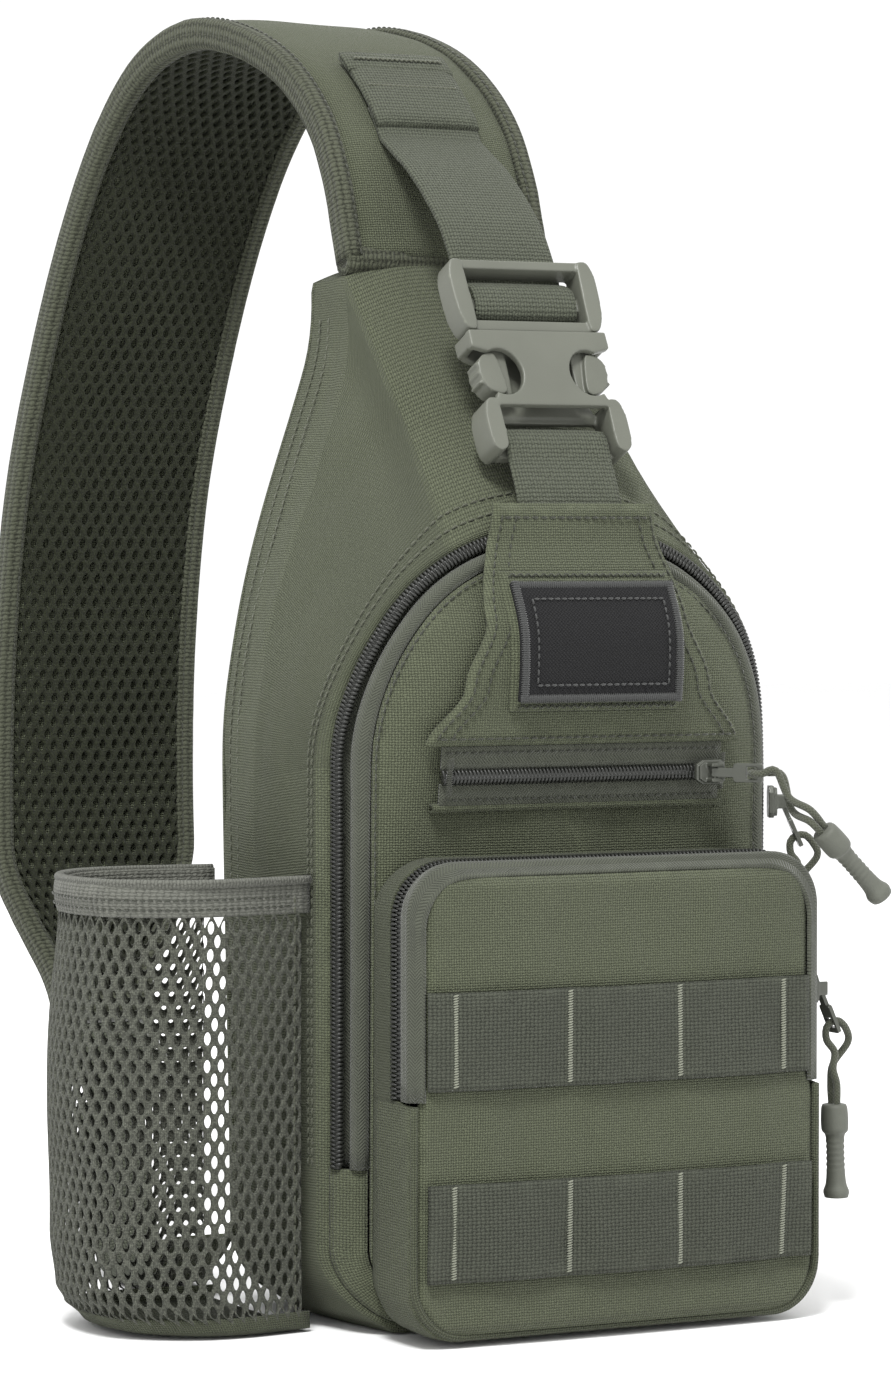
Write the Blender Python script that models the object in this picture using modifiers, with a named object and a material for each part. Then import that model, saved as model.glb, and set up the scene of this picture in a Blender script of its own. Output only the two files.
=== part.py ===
"""Sling bag: a padded shoulder strap with a side-release buckle, an arched main section with a
zipped organizer pocket and a slit pocket, and a mesh bottle pocket on one side.

Metres, +Z up. The bag stands on z = 0 and its front faces -Y. Run with
blender --background --python part.py, or from Blender's text editor.
"""

import math

import bmesh
import bpy
from mathutils import Matrix, Vector

# ---- driving dimensions ----------------------------------------------------
GAP = 0.0004                 # clearance between neighbouring pieces
CLOTH = 0.0016               # sewn fabric with its backing
WEB_WIDTH = 0.038            # strap webbing

ARCH_HALF = 0.080            # half width of the arched main zip
ARCH_SIDE_TOP = 0.175        # where the straight sides of the arch end
ARCH_TOP = 0.252
ARCH_CORNER = 0.026
ZIP_EDGE_Y = -0.020          # depth of the zip line along the sides

BODY_HALF = 0.0845           # widest half width of the rear section
BODY_SIDE_TOP = 0.170
BODY_TOP = 0.338
TOP_HALF = 0.0385            # half width of the top edge, equal to the strap's
BACK_INSET = 0.0045          # how much narrower the back panel is than the middle

COIL_INSET = 0.0037          # main zip's coil inside the arch line
COIL_RADIUS = 0.0021

ORG_HALF = 0.073             # organizer pocket, at its front
ORG_BACK_HALF = 0.0685       # and where it is sewn to the lid
ORG_BOTTOM = 0.0015
ORG_TOP = 0.1475
ORG_CORNER = 0.017
ORG_ZIP_Y = -0.0570          # front edge of the organizer's side wall
ORG_FRONT_Y = -0.0700        # front edge of the organizer's lower wall
ORG_CROWN_Y = -0.0735        # front face at its middle
ORG_SPLIT_Z = 0.0745         # fold line of the organizer's flap

SLIT_Z = 0.1723              # slit pocket's zip
SLIT_HALF = 0.050
SLIT_TAPE_LIFT = 0.0032      # how far its tapes and coil stand off the front face
SLIT_COIL_LIFT = 0.0048
YOKE_BOTTOM = 0.1820
YOKE_TOP = 0.2570

POCKET_TOP = 0.1405          # mesh bottle pocket
POCKET_OUT = 0.066
POCKET_FRONT_Y = -0.016
POCKET_REAR_Y = 0.044
ELASTIC_TALL = 0.0105

STRAP_HALF = 0.038
STRAP_PAD = 0.0060
STRAP_MESH = 0.0022
BINDING_WIDE = 0.0065
BINDING_OVER = 0.0012        # how far the binding stands past the strap's faces

BUCKLE_CENTRE = Vector((0.0, -0.0170, 0.2990))
BUCKLE_LEAN = math.radians(26.0)

ACROSS = Vector((1.0, 0.0, 0.0))

# the strap's centre line, from the top seam over and down to the lower adjuster
STRAP_ROUTE = [
    (0.000, 0.0500, 0.3475),
    (0.000, 0.0560, 0.3640),
    (0.000, 0.0690, 0.3840),
    (-0.002, 0.0900, 0.4020),
    (-0.006, 0.1170, 0.4140),
    (-0.011, 0.1450, 0.4180),
    (-0.017, 0.1700, 0.4090),
    (-0.023, 0.1890, 0.3870),
    (-0.030, 0.2020, 0.3540),
    (-0.038, 0.2100, 0.3120),
    (-0.046, 0.2140, 0.2640),
    (-0.052, 0.2120, 0.2120),
    (-0.057, 0.2040, 0.1620),
    (-0.062, 0.1900, 0.1180),
    (-0.067, 0.1730, 0.0840),
]

# the strap webbing's centre line, from the adjuster along the ground to the lower rear corner
LOWER_WEB_ROUTE = [
    (-0.0716, 0.1560, 0.0530),
    (-0.0740, 0.1460, 0.0330),
    (-0.0770, 0.1330, 0.0130),
    (-0.0795, 0.1190, 0.0030),
    (-0.0820, 0.1040, 0.0013),
    (-0.0840, 0.0860, 0.0013),
    (-0.0855, 0.0755, 0.0032),
    (-0.0862, 0.0670, 0.0085),
]

COLOURS = {
    "oxford": ((0.112, 0.120, 0.084), 0.82, 0.0),
    "oxford_dark": ((0.070, 0.076, 0.054), 0.85, 0.0),
    "webbing": ((0.098, 0.104, 0.082), 0.80, 0.0),
    "binding": ((0.080, 0.086, 0.068), 0.82, 0.0),
    "air_mesh": ((0.030, 0.034, 0.020), 0.90, 0.0),
    "pocket_mesh": ((0.120, 0.122, 0.106), 0.85, 0.0),
    "elastic": ((0.200, 0.204, 0.180), 0.80, 0.0),
    "foam": ((0.045, 0.045, 0.045), 0.95, 0.0),
    "lining": ((0.060, 0.062, 0.055), 0.70, 0.0),
    "board": ((0.030, 0.030, 0.032), 0.60, 0.0),
    "coil": ((0.030, 0.031, 0.030), 0.45, 0.0),
    "tape": ((0.100, 0.104, 0.090), 0.78, 0.0),
    "acetal": ((0.150, 0.155, 0.138), 0.42, 0.0),
    "painted_metal": ((0.085, 0.088, 0.078), 0.40, 0.6),
    "cord": ((0.080, 0.085, 0.066), 0.75, 0.0),
    "rubber": ((0.130, 0.135, 0.120), 0.62, 0.0),
    "patch_field": ((0.012, 0.012, 0.013), 0.85, 0.0),
    "patch_loop": ((0.055, 0.058, 0.046), 0.95, 0.0),
}


# ---- scene helpers ---------------------------------------------------------
def clear_scene():
    for item in list(bpy.data.objects):
        bpy.data.objects.remove(item, do_unlink=True)


def make_collection(name):
    collection = bpy.data.collections.new(name)
    bpy.context.scene.collection.children.link(collection)
    return collection


def make_material(name, key):
    colour, roughness, metallic = COLOURS[key]
    material = bpy.data.materials.new(name)
    material.use_nodes = True
    shader = material.node_tree.nodes["Principled BSDF"]
    shader.inputs["Base Color"].default_value = (*colour, 1.0)
    shader.inputs["Roughness"].default_value = roughness
    shader.inputs["Metallic"].default_value = metallic
    return material


def add_mesh(name, mesh_builder, key, matrix=None, cutter=False):
    """One object from a bmesh, in the bag's collection or among the cutters."""
    mesh = bpy.data.meshes.new(name)
    mesh_builder.to_mesh(mesh)
    mesh_builder.free()
    thing = bpy.data.objects.new(name, mesh)
    if matrix is not None:
        thing.matrix_world = matrix
    if cutter:
        CUTTERS.objects.link(thing)
        thing.hide_render = True
        thing.display_type = "WIRE"
        return thing
    BAG.objects.link(thing)
    mesh.materials.append(make_material(name, key))
    return thing


def bevel(thing, width, segments=2, angle=40.0):
    modifier = thing.modifiers.new("edges", "BEVEL")
    modifier.width = width
    modifier.segments = segments
    modifier.limit_method = "ANGLE"
    modifier.angle_limit = math.radians(angle)


def solidify(thing, thickness):
    """Thicken a sheet behind its face normals."""
    modifier = thing.modifiers.new("thickness", "SOLIDIFY")
    modifier.thickness = thickness
    modifier.offset = -1.0
    modifier.use_even_offset = True


def cut(thing, cutter):
    modifier = thing.modifiers.new("cut", "BOOLEAN")
    modifier.operation = "DIFFERENCE"
    modifier.object = cutter


def join_to(thing, other):
    modifier = thing.modifiers.new("join", "BOOLEAN")
    modifier.operation = "UNION"
    modifier.object = other


def sheet_mesh(rows, closed=False):
    """A bmesh of quads between rows of points; closed joins each row's end to its start."""
    builder = bmesh.new()
    grid = [[builder.verts.new(point) for point in row] for row in rows]
    count = len(rows[0])
    last = count if closed else count - 1
    for lower, upper in zip(grid, grid[1:]):
        for i in range(last):
            j = (i + 1) % count
            builder.faces.new((lower[i], lower[j], upper[j], upper[i]))
    bmesh.ops.remove_doubles(builder, verts=builder.verts, dist=0.00002)
    return builder


def face_outward(builder, outward):
    """Flip the sheet if its faces look away from the given direction or centre."""
    total = sum((outward(face.calc_center_median()).dot(face.normal) * face.calc_area()
                 for face in builder.faces), 0.0)
    if total < 0.0:
        bmesh.ops.reverse_faces(builder, faces=builder.faces)


def add_sheet(name, rows, key, thickness, outward, closed=False):
    """A sheet of cloth whose outer face is the given rows."""
    builder = sheet_mesh(rows, closed)
    builder.normal_update()
    face_outward(builder, outward)
    thing = add_mesh(name, builder, key)
    solidify(thing, thickness)
    for polygon in thing.data.polygons:
        polygon.use_smooth = True
    return thing


def add_box(name, size, key, matrix, edge=0.0, cutter=False):
    builder = bmesh.new()
    bmesh.ops.create_cube(builder, size=1.0)
    bmesh.ops.scale(builder, vec=size, verts=builder.verts)
    thing = add_mesh(name, builder, key, matrix, cutter)
    if edge > 0.0:
        bevel(thing, edge)
    return thing


def add_tube(name, points, radius, key, sides=2, cyclic=False):
    """A round cord or coil along a line of points."""
    curve = bpy.data.curves.new(name, "CURVE")
    curve.dimensions = "3D"
    curve.bevel_depth = radius
    curve.bevel_resolution = sides
    curve.use_fill_caps = not cyclic
    spline = curve.splines.new("POLY")
    spline.points.add(len(points) - 1)
    for target, point in zip(spline.points, points):
        target.co = (*point, 1.0)
    spline.use_cyclic_u = cyclic
    thing = bpy.data.objects.new(name, curve)
    BAG.objects.link(thing)
    curve.materials.append(make_material(name, key))
    return thing


def smooth_line(route, step):
    """Points about one step apart on a Catmull-Rom curve through the route."""
    points = [Vector(point) for point in route]
    padded = [points[0] * 2 - points[1], *points, points[-1] * 2 - points[-2]]
    line = [points[0]]
    for p0, p1, p2, p3 in zip(padded, padded[1:], padded[2:], padded[3:]):
        count = max(1, round((p2 - p1).length / step))
        for k in range(1, count + 1):
            t = k / count
            line.append(0.5 * (2 * p1 + (p2 - p0) * t + (2 * p0 - 5 * p1 + 4 * p2 - p3) * t ** 2
                               + (3 * p1 - p0 - 3 * p2 + p3) * t ** 3))
    return line


def ease(value, low, high):
    """0 below low, 1 above high, smooth between."""
    t = min(1.0, max(0.0, (value - low) / (high - low)))
    return t * t * (3.0 - 2.0 * t)


def through(value, stops):
    """Smooth value through (position, value) stops."""
    if value <= stops[0][0]:
        return stops[0][1]
    for (low, a), (high, b) in zip(stops, stops[1:]):
        if value <= high:
            return a + (b - a) * ease(value, low, high)
    return stops[-1][1]


# ---- the bag's outlines ----------------------------------------------------
def front_y(x, z):
    """Depth of the crowned front face, which wraps back to the zip line at its sides."""
    crest = through(z, [(0.00, -0.0400), (0.15, -0.0415), (0.215, -0.0500), (0.252, -0.0370)])
    power = 9.0 - 6.7 * ease(z, 0.15, 0.235)
    return crest + (ZIP_EDGE_Y - crest) * min(1.0, abs(x) / ARCH_HALF) ** power


def half_outline(half, corner, side_top, bottom, shoulder):
    """Right half of a closed outline as (x, z), from the bottom centre to the top centre."""
    corner = max(corner, 0.0)
    points = [((half - corner) * k / 4, bottom) for k in range(4)]
    for k in range(6):
        angle = math.pi / 2 * k / 5
        points.append((half - corner + corner * math.sin(angle),
                       bottom + corner - corner * math.cos(angle)))
    start = bottom + corner
    points += [(half, start + (side_top - start) * k / 6) for k in range(1, 6)]
    points += [shoulder(k / 12) for k in range(13)]
    return points


def full_outline(half_points):
    """Mirror a right half into a closed ring."""
    left = [(-x, z) for x, z in half_points[-2:0:-1]]
    return half_points + left


def arch_ring(inset):
    """The arched front outline, drawn in by the inset."""
    half = ARCH_HALF - inset
    top = ARCH_TOP - inset
    side_top = min(ARCH_SIDE_TOP, top - 0.01)

    def shoulder(t):
        angle = math.pi / 2 * t
        return half * max(0.0, math.cos(angle)) ** 0.85, side_top + (top - side_top) * math.sin(angle)

    outline = half_outline(half, min(half, ARCH_CORNER - inset), side_top, inset, shoulder)
    return [Vector((x, front_y(x, z), z)) for x, z in full_outline(outline)]


def rear_ring(inset, depth_at, rise=0.0):
    """The tapering outline of the rear section, drawn in across by inset and up and down by rise."""
    half = BODY_HALF - inset
    top = BODY_TOP - rise
    shoulder_z = top - 0.008
    top_half = max(0.0, TOP_HALF - 0.5 * inset)

    def shoulder(t):
        if t < 0.7:
            u = t / 0.7
            spread = 0.5 + 0.5 * math.cos(math.pi * u ** 1.2)
            return top_half + (half - top_half) * spread, BODY_SIDE_TOP + (shoulder_z - BODY_SIDE_TOP) * u
        u = (t - 0.7) / 0.3
        return top_half * max(0.0, 1.0 - u) ** 0.8, shoulder_z + 0.008 * math.sin(math.pi / 2 * u)

    corner = max(0.006, ARCH_CORNER - rise)
    outline = half_outline(half, corner, BODY_SIDE_TOP, rise, shoulder)
    return [Vector((x, depth_at(z), z)) for x, z in full_outline(outline)]


def middle_depth(z):
    return through(z, [(0.17, 0.012), (0.229, 0.015), (0.295, 0.030), (0.338, 0.044)])


def back_depth(z):
    return through(z, [(0.00, 0.040), (0.20, 0.046), (0.30, 0.066), (0.34, 0.070)])


def from_axis(point):
    """Outward direction from the bag's upright middle line."""
    return Vector((point.x, point.y - 0.01, point.z - 0.14))


def toward_front(_point):
    return Vector((0.0, -1.0, 0.0))


def toward_back(_point):
    return Vector((0.0, 1.0, 0.0))


def blend_rings(first, second, t, bulge=0.0):
    """Ring between two rings; bulge lets the width reach the second ring's early."""
    across = t + bulge * math.sin(math.pi * t) * 0.5
    ring = []
    for a, b in zip(first, second):
        point = a.lerp(b, t)
        point.x = a.x + (b.x - a.x) * across
        ring.append(point)
    return ring


# ---- main section ----------------------------------------------------------
def build_main_section():
    front = arch_ring(0.0)
    middle = rear_ring(0.0, middle_depth)
    back = rear_ring(BACK_INSET, back_depth)
    rows = [blend_rings(front, middle, k / 4, 0.5) for k in range(5)]
    rows += [blend_rings(middle, back, k / 3, -0.3) for k in range(1, 4)]
    for row in rows:
        for point in row:
            if point.z < 0.0015:
                point.z = 0.0
    add_sheet("body_gusset", rows, "oxford", CLOTH, from_axis, closed=True)

    add_back()
    add_zip_rings()
    add_inner_pieces()


def filled_rings(rings, shift):
    """Rows that close an outline down to a short upright line, moved along Y."""
    rows = [[point + Vector((0.0, shift, 0.0)) for point in ring] for ring in rings]
    heights = [point.z for point in rows[-1]]
    middle = 0.5 * (min(heights) + max(heights))
    rows.append([Vector((0.0, point.y, middle + 0.85 * (point.z - middle))) for point in rows[-1]])
    return rows


def add_back():
    """Back panel, its foam and the padded mesh outside it."""
    margins = (0.0, 0.010, 0.022, 0.038, 0.058)

    def layer(name, first, shift, key, thickness):
        rings = [rear_ring(BACK_INSET + margin, back_depth, margin) for margin in margins[first:]]
        add_sheet(name, filled_rings(rings, shift), key, thickness, toward_back, closed=True)

    layer("back_panel", 0, GAP + CLOTH, "oxford", CLOTH)
    layer("back_mesh_pad", 1, 0.0118, "air_mesh", 0.0080)
    layer("back_foam", 1, -GAP, "foam", 0.0045)


def ring_span(ring, first, last):
    """Part of a ring from one index to another, going round past its start if needed."""
    count = len(ring)
    span = (last - first) % count
    return [ring[(first + k) % count] for k in range(span + 1)]


SIDE_START = 10              # outline index where the side has left the bottom corner


def zip_arc(inset, lift=0.0):
    """The part of the arch that the zip runs along, lifted off the front face."""
    ring = arch_ring(inset)
    count = len(ring)
    points = []
    for point in ring_span(ring, SIDE_START, count - SIDE_START):
        step = 0.0005
        slope = (front_y(abs(point.x), point.z) - front_y(abs(point.x) - step, point.z)) / step
        outward = Vector((math.copysign(slope, point.x), -1.0, 0.35 * ease(point.z, 0.2, 0.25)))
        points.append(point + outward.normalized() * lift)
    return points


def add_zip_rings():
    """Main zip: outer tape, coil, rolled piping and the lid inside them."""
    tape = [zip_arc(inset, -0.0040) for inset in (0.0026, 0.0060, 0.0098)]
    add_sheet("main_zip_tape", tape, "tape", 0.0010, toward_front)
    add_tube("main_zip_coil", zip_arc(COIL_INSET, 0.0004), COIL_RADIUS, "coil")
    piping = [zip_arc(inset, lift) for inset, lift in ((0.0062, 0.0), (0.0084, 0.0016), (0.0105, 0.0))]
    add_sheet("main_zip_piping", piping, "tape", 0.0014, toward_front)

    rings = [arch_ring(inset) for inset in (0.0110, 0.0160, 0.0240, 0.0380, 0.0560, 0.0700)]
    add_sheet("lid_panel", filled_rings(rings, 0.0), "oxford", 0.0022, toward_front, closed=True)

    rows = []
    for inset in (0.0022, 0.0060, 0.0106):
        ring = arch_ring(inset)
        count = len(ring)
        row = ring_span(ring, count - SIDE_START, SIDE_START)
        for end in (row[0], row[-1]):
            end.z -= 0.0006
        rows.append(row)
    add_sheet("lid_hinge_strip", rows, "oxford", CLOTH, toward_front)


def add_inner_pieces():
    """Board in the base and the slip pocket inside the main compartment."""
    board = Matrix.Translation((0.0, 0.0115, 0.0036))
    add_box("base_stiffener", (0.112, 0.048, 0.0026), "board", board, 0.0008)
    rows = []
    for k in range(7):
        z = 0.014 + 0.112 * k / 6
        sag = 0.0030 * math.sin(math.pi * k / 6)
        rows.append([Vector((x, back_depth(z) - 0.0100 - sag * (1 - (x / 0.062) ** 2), z))
                     for x in [0.062 * (i / 5 - 1) for i in range(11)]])
    add_sheet("slip_pocket_lining", rows, "lining", 0.0012, toward_front)


# ---- pieces laid on the front face -----------------------------------------
def face_rows(z_low, z_high, half_at, lift, rows=8, columns=10, z_cap=ARCH_TOP):
    """Rows over the front face between two heights, lifted forward off it."""
    grid = []
    for r in range(rows + 1):
        z = z_low + (z_high - z_low) * r / rows
        half = half_at(z)
        grid.append([Vector((x, front_y(x, min(z, z_cap)) - lift, z))
                     for x in [half * (2 * c / columns - 1) for c in range(columns + 1)]])
    return grid


def yoke_half(z):
    return through(z, [(0.182, 0.0560), (0.200, 0.0440), (0.222, 0.0360), (0.257, 0.0285)])


def build_front_pieces():
    yoke = face_rows(YOKE_BOTTOM, YOKE_TOP, yoke_half, 0.0056, z_cap=0.245)
    add_sheet("yoke_panel", yoke, "oxford", CLOTH, toward_front)
    base = face_rows(0.1935, 0.2350, lambda z: 0.0300, 0.0080, rows=4)
    add_sheet("patch_loop_base", base, "patch_loop", 0.0012, toward_front)
    patch = face_rows(0.1955, 0.2325, lambda z: 0.0285, 0.0105, rows=4)
    add_sheet("patch", patch, "patch_field", 0.0020, toward_front)

    def slit_half(_z):
        return SLIT_HALF

    for name, low, high in (("slit_zip_tape_lower", 0.1636, SLIT_Z - 0.0027),
                            ("slit_zip_tape_upper", SLIT_Z + 0.0027, YOKE_BOTTOM - GAP)):
        tape = face_rows(low, high, slit_half, SLIT_TAPE_LIFT, rows=2)
        add_sheet(name, tape, "tape", 0.0012, toward_front)
    line = [Vector((x, front_y(x, SLIT_Z) - SLIT_COIL_LIFT, SLIT_Z))
            for x in [SLIT_HALF * (k / 8 - 1) for k in range(17)]]
    add_tube("slit_zip_coil", line, 0.0022, "coil")


# ---- organizer pocket ------------------------------------------------------
def organizer_half(half, top, bottom):
    """Right half of the organizer's outline as (x, z), with a point on each side of the fold."""
    corner = ORG_CORNER
    points = [((half - corner) * k / 4, bottom) for k in range(4)]
    for k in range(5):
        angle = math.pi / 2 * k / 4
        points.append((half - corner + corner * math.sin(angle),
                       bottom + corner - corner * math.cos(angle)))
    points += [(half, z) for z in (0.040, ORG_SPLIT_Z - 0.0006, ORG_SPLIT_Z + 0.0006, 0.100)]
    for k in range(5):
        angle = math.pi / 2 * k / 4
        points.append((half - corner + corner * math.cos(angle),
                       top - corner + corner * math.sin(angle)))
    points += [((half - corner) * (1 - k / 4), top) for k in range(1, 5)]
    return points


def organizer_ring(half, inset, depth_at):
    outline = full_outline(organizer_half(half - inset, ORG_TOP - inset, ORG_BOTTOM + inset))
    return [Vector((x, depth_at(x, z), z)) for x, z in outline]


def organizer_wall_front(_x, z):
    return ORG_FRONT_Y + 0.0006 if z < ORG_SPLIT_Z else ORG_ZIP_Y


def organizer_face(x):
    """Depth of the organizer's slightly crowned front face."""
    return ORG_CROWN_Y + (ORG_FRONT_Y - ORG_CROWN_Y) * min(1.0, abs(x) / ORG_HALF) ** 3


def organizer_face_half(z, inset):
    """Half width of the organizer's face at a height, inside its rounded corners."""
    low = ORG_BOTTOM + ORG_CORNER
    high = ORG_TOP - ORG_CORNER
    reach = ORG_CORNER - inset
    off = max(low - z, z - high, 0.0)
    return ORG_HALF - ORG_CORNER + math.sqrt(max(reach * reach - off * off, 0.0))


def organizer_rows(z_low, z_high, inset, lift, rows, columns=10):
    grid = []
    for r in range(rows + 1):
        z = z_low + (z_high - z_low) * 0.5 * (1 - math.cos(math.pi * r / rows))
        half = organizer_face_half(z, inset)
        grid.append([Vector((x, organizer_face(x) - lift, z))
                     for x in [half * (2 * c / columns - 1) for c in range(columns + 1)]])
    return grid


def molle_rows(z_low, z_high):
    """A webbing row that stands off the face between its bar tacks."""
    half = 0.0680
    spacing = 0.0390
    grid = []
    for z in (z_low, 0.5 * (z_low + z_high), z_high):
        row = []
        for c in range(25):
            x = half * (c / 12 - 1)
            bulge = abs(math.cos(math.pi * (x + 0.001) / spacing)) ** 0.6
            row.append(Vector((x, organizer_face(x) - 0.0020 - 0.0012 * bulge, z)))
        grid.append(row)
    return grid


def build_organizer():
    back = organizer_ring(ORG_BACK_HALF, 0.0, lambda x, z: front_y(x, z) - 0.0008)
    middle = organizer_ring(ORG_HALF, 0.0, lambda x, z: -0.0480)
    front = organizer_ring(ORG_HALF, 0.0, organizer_wall_front)
    wall = add_sheet("organizer_gusset", [back, middle, front], "oxford", CLOTH, from_organizer, closed=True)
    wall.modifiers["thickness"].use_even_offset = False

    line = organizer_ring(ORG_HALF, 0.0010, lambda x, z: ORG_ZIP_Y - 0.0026)
    count = len(line)
    first = 11
    add_tube("organizer_zip_coil", ring_span(line, first, count - first), 0.0021, "coil")
    piping = [ring_span(organizer_ring(ORG_HALF, inset, lambda x, z, y=y: y), first, count - first)
              for inset, y in ((0.0004, -0.0622), (0.0000, -0.0655), (0.0026, -0.0695))]
    add_sheet("organizer_piping", piping, "tape", 0.0014, from_organizer)

    flap = organizer_rows(ORG_SPLIT_Z + 0.0008, ORG_TOP - 0.0046, 0.0046, 0.0, 9)
    add_sheet("organizer_flap", flap, "oxford", 0.0020, toward_front)
    lower = organizer_rows(ORG_BOTTOM + 0.0022, ORG_SPLIT_Z - 0.0002, 0.0022, 0.0, 8)
    add_sheet("organizer_lower_front", lower, "oxford", 0.0020, toward_front)
    add_sheet("molle_webbing_upper", molle_rows(0.0785, 0.1085), "webbing", 0.0014, toward_front)
    add_sheet("molle_webbing_lower", molle_rows(0.0200, 0.0500), "webbing", 0.0014, toward_front)


def from_organizer(point):
    return Vector((point.x, 0.0, point.z - 0.0745))


# ---- mesh bottle pocket ----------------------------------------------------
def pocket_row(z, out, spread):
    """U-shaped line round the pocket at a height, from its front edge to its rear edge."""
    middle = 0.5 * (POCKET_FRONT_Y + POCKET_REAR_Y)
    half = 0.5 * (POCKET_REAR_Y - POCKET_FRONT_Y)
    row = []
    for k in range(17):
        angle = math.pi * (k / 16 - 0.5)
        x = -BODY_HALF - 0.0008 - POCKET_OUT * out * max(0.0, math.cos(angle)) ** 0.75
        y = middle + half * math.sin(angle) + 0.009 * spread * math.sin(2 * angle)
        row.append(Vector((x, y, z)))
    return row


def from_pocket(point):
    return Vector((point.x + 0.105, point.y - 0.014, point.z - 0.075))


def build_bottle_pocket():
    levels = [(0.0006, 0.0, 0.0), (0.0006, 0.45, 0.4), (0.0006, 0.80, 0.8), (0.0045, 0.915, 0.9),
              (0.013, 0.975, 1.0), (0.030, 1.0, 1.1), (0.080, 1.02, 1.2),
              (POCKET_TOP - ELASTIC_TALL - GAP, 0.965, 1.0)]
    rows = [pocket_row(z, out, spread) for z, out, spread in levels]
    add_sheet("bottle_pocket_mesh", rows, "pocket_mesh", CLOTH, from_pocket)
    band = [pocket_row(z, 0.968, 1.0) for z in (POCKET_TOP - ELASTIC_TALL, POCKET_TOP)]
    add_sheet("bottle_pocket_elastic", band, "elastic", 0.0024, from_pocket)


# ---- shoulder strap --------------------------------------------------------
def strap_stations(step=0.016):
    """Point, direction, across and outward vectors along the strap."""
    line = smooth_line(STRAP_ROUTE, step)
    stations = []
    for k, point in enumerate(line):
        along = line[min(k + 1, len(line) - 1)] - line[max(k - 1, 0)]
        along.x = 0.0
        along.normalize()
        stations.append((point, along, ACROSS, ACROSS.cross(along)))
    return stations


def strap_half(k, count):
    """The strap narrows over its last stretch, towards the adjuster."""
    return STRAP_HALF - 0.020 * ease(k, count - 5, count - 1)


def add_bar(name, sections, key):
    """A closed solid through matching sections, with flat ends."""
    builder = sheet_mesh(sections, closed=True)
    builder.verts.ensure_lookup_table()
    size = len(sections[0])
    total = len(builder.verts)
    builder.faces.new([builder.verts[k] for k in range(size)])
    builder.faces.new([builder.verts[total - size + k] for k in range(size)])
    bmesh.ops.recalc_face_normals(builder, faces=builder.faces)
    return add_mesh(name, builder, key)


def strap_layer(name, key, span_at, low, high):
    """A layer of the strap between two distances outward of its centre line."""
    stations = strap_stations()
    sections = []
    for k, (point, _along, across, outward) in enumerate(stations):
        left, right = span_at(strap_half(k, len(stations)))
        sections.append([point + across * side + outward * level
                         for side, level in ((left, low), (right, low), (right, high), (left, high))])
    return add_bar(name, sections, key)


def web_strip(name, key, route, half, thickness, step=0.010):
    """A flat strip of webbing along a route, its width across X."""
    line = smooth_line(route, step)
    sections = []
    for k, point in enumerate(line):
        along = line[min(k + 1, len(line) - 1)] - line[max(k - 1, 0)]
        along.x = 0.0
        outward = ACROSS.cross(along.normalized()) * (thickness / 2)
        side = ACROSS * half
        sections.append([point - side - outward, point + side - outward,
                         point + side + outward, point - side + outward])
    return add_bar(name, sections, key)


def build_strap():
    mesh_low = -0.5 * (STRAP_PAD + STRAP_MESH + GAP)
    pad_low = mesh_low + STRAP_MESH + GAP
    pad_high = pad_low + STRAP_PAD

    def field(half):
        inner = half - BINDING_WIDE - GAP
        return -inner, inner

    strap_layer("strap_mesh_lining", "air_mesh", field, mesh_low, mesh_low + STRAP_MESH)
    strap_layer("strap_pad", "oxford", field, pad_low, pad_high)
    low = mesh_low - BINDING_OVER
    high = pad_high + BINDING_OVER
    strap_layer("strap_binding_left", "binding", lambda half: (-half, -half + BINDING_WIDE), low, high)
    strap_layer("strap_binding_right", "binding", lambda half: (half - BINDING_WIDE, half), low, high)

    end, along, across, outward = strap_stations()[-1]
    seat = Matrix((across, -along, outward)).transposed().to_4x4()
    seat.translation = end + along * 0.0135
    lock = add_box("strap_adjuster", (0.0330, 0.0250, 0.0042), "acetal", seat, 0.0009)
    for k, shift in enumerate((-0.0062, 0.0052)):
        slot = add_box(f"adjuster_slot_{k}", (0.0262, 0.0052, 0.02), None,
                       seat @ Matrix.Translation((0.0, shift, 0.0)), cutter=True)
        cut(lock, slot)
    web_strip("strap_lower_webbing", "webbing", LOWER_WEB_ROUTE, 0.0125, 0.0016)
    wing = [(-0.0865, 0.0652, 0.0092), (-0.0865, 0.0585, 0.0140), (-0.0865, 0.0520, 0.0200)]
    web_strip("strap_wing_tab", "oxford", wing, 0.0122, 0.0024)


# ---- buckle and its webbing ------------------------------------------------
def buckle_matrix(across=0.0, up=0.0, out=0.0):
    """Frame in the buckle's plane: X across, Y up along the webbing, Z out of its face."""
    up_axis = Vector((0.0, math.sin(BUCKLE_LEAN), math.cos(BUCKLE_LEAN)))
    out_axis = Vector((1.0, 0.0, 0.0)).cross(up_axis)
    frame = Matrix((Vector((1.0, 0.0, 0.0)), up_axis, out_axis)).transposed().to_4x4()
    frame.translation = BUCKLE_CENTRE
    return frame @ Matrix.Translation((across, up, out))


def add_plate(name, outline, thickness, key, matrix):
    """A flat plate from an outline in the matrix's XY plane."""
    builder = bmesh.new()
    lower = [builder.verts.new((x, y, -thickness / 2)) for x, y in outline]
    face = builder.faces.new(lower)
    grown = bmesh.ops.extrude_face_region(builder, geom=[face])
    moved = [item for item in grown["geom"] if isinstance(item, bmesh.types.BMVert)]
    bmesh.ops.translate(builder, vec=(0.0, 0.0, thickness), verts=moved)
    bmesh.ops.recalc_face_normals(builder, faces=builder.faces)
    return add_mesh(name, builder, key, matrix)


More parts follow.
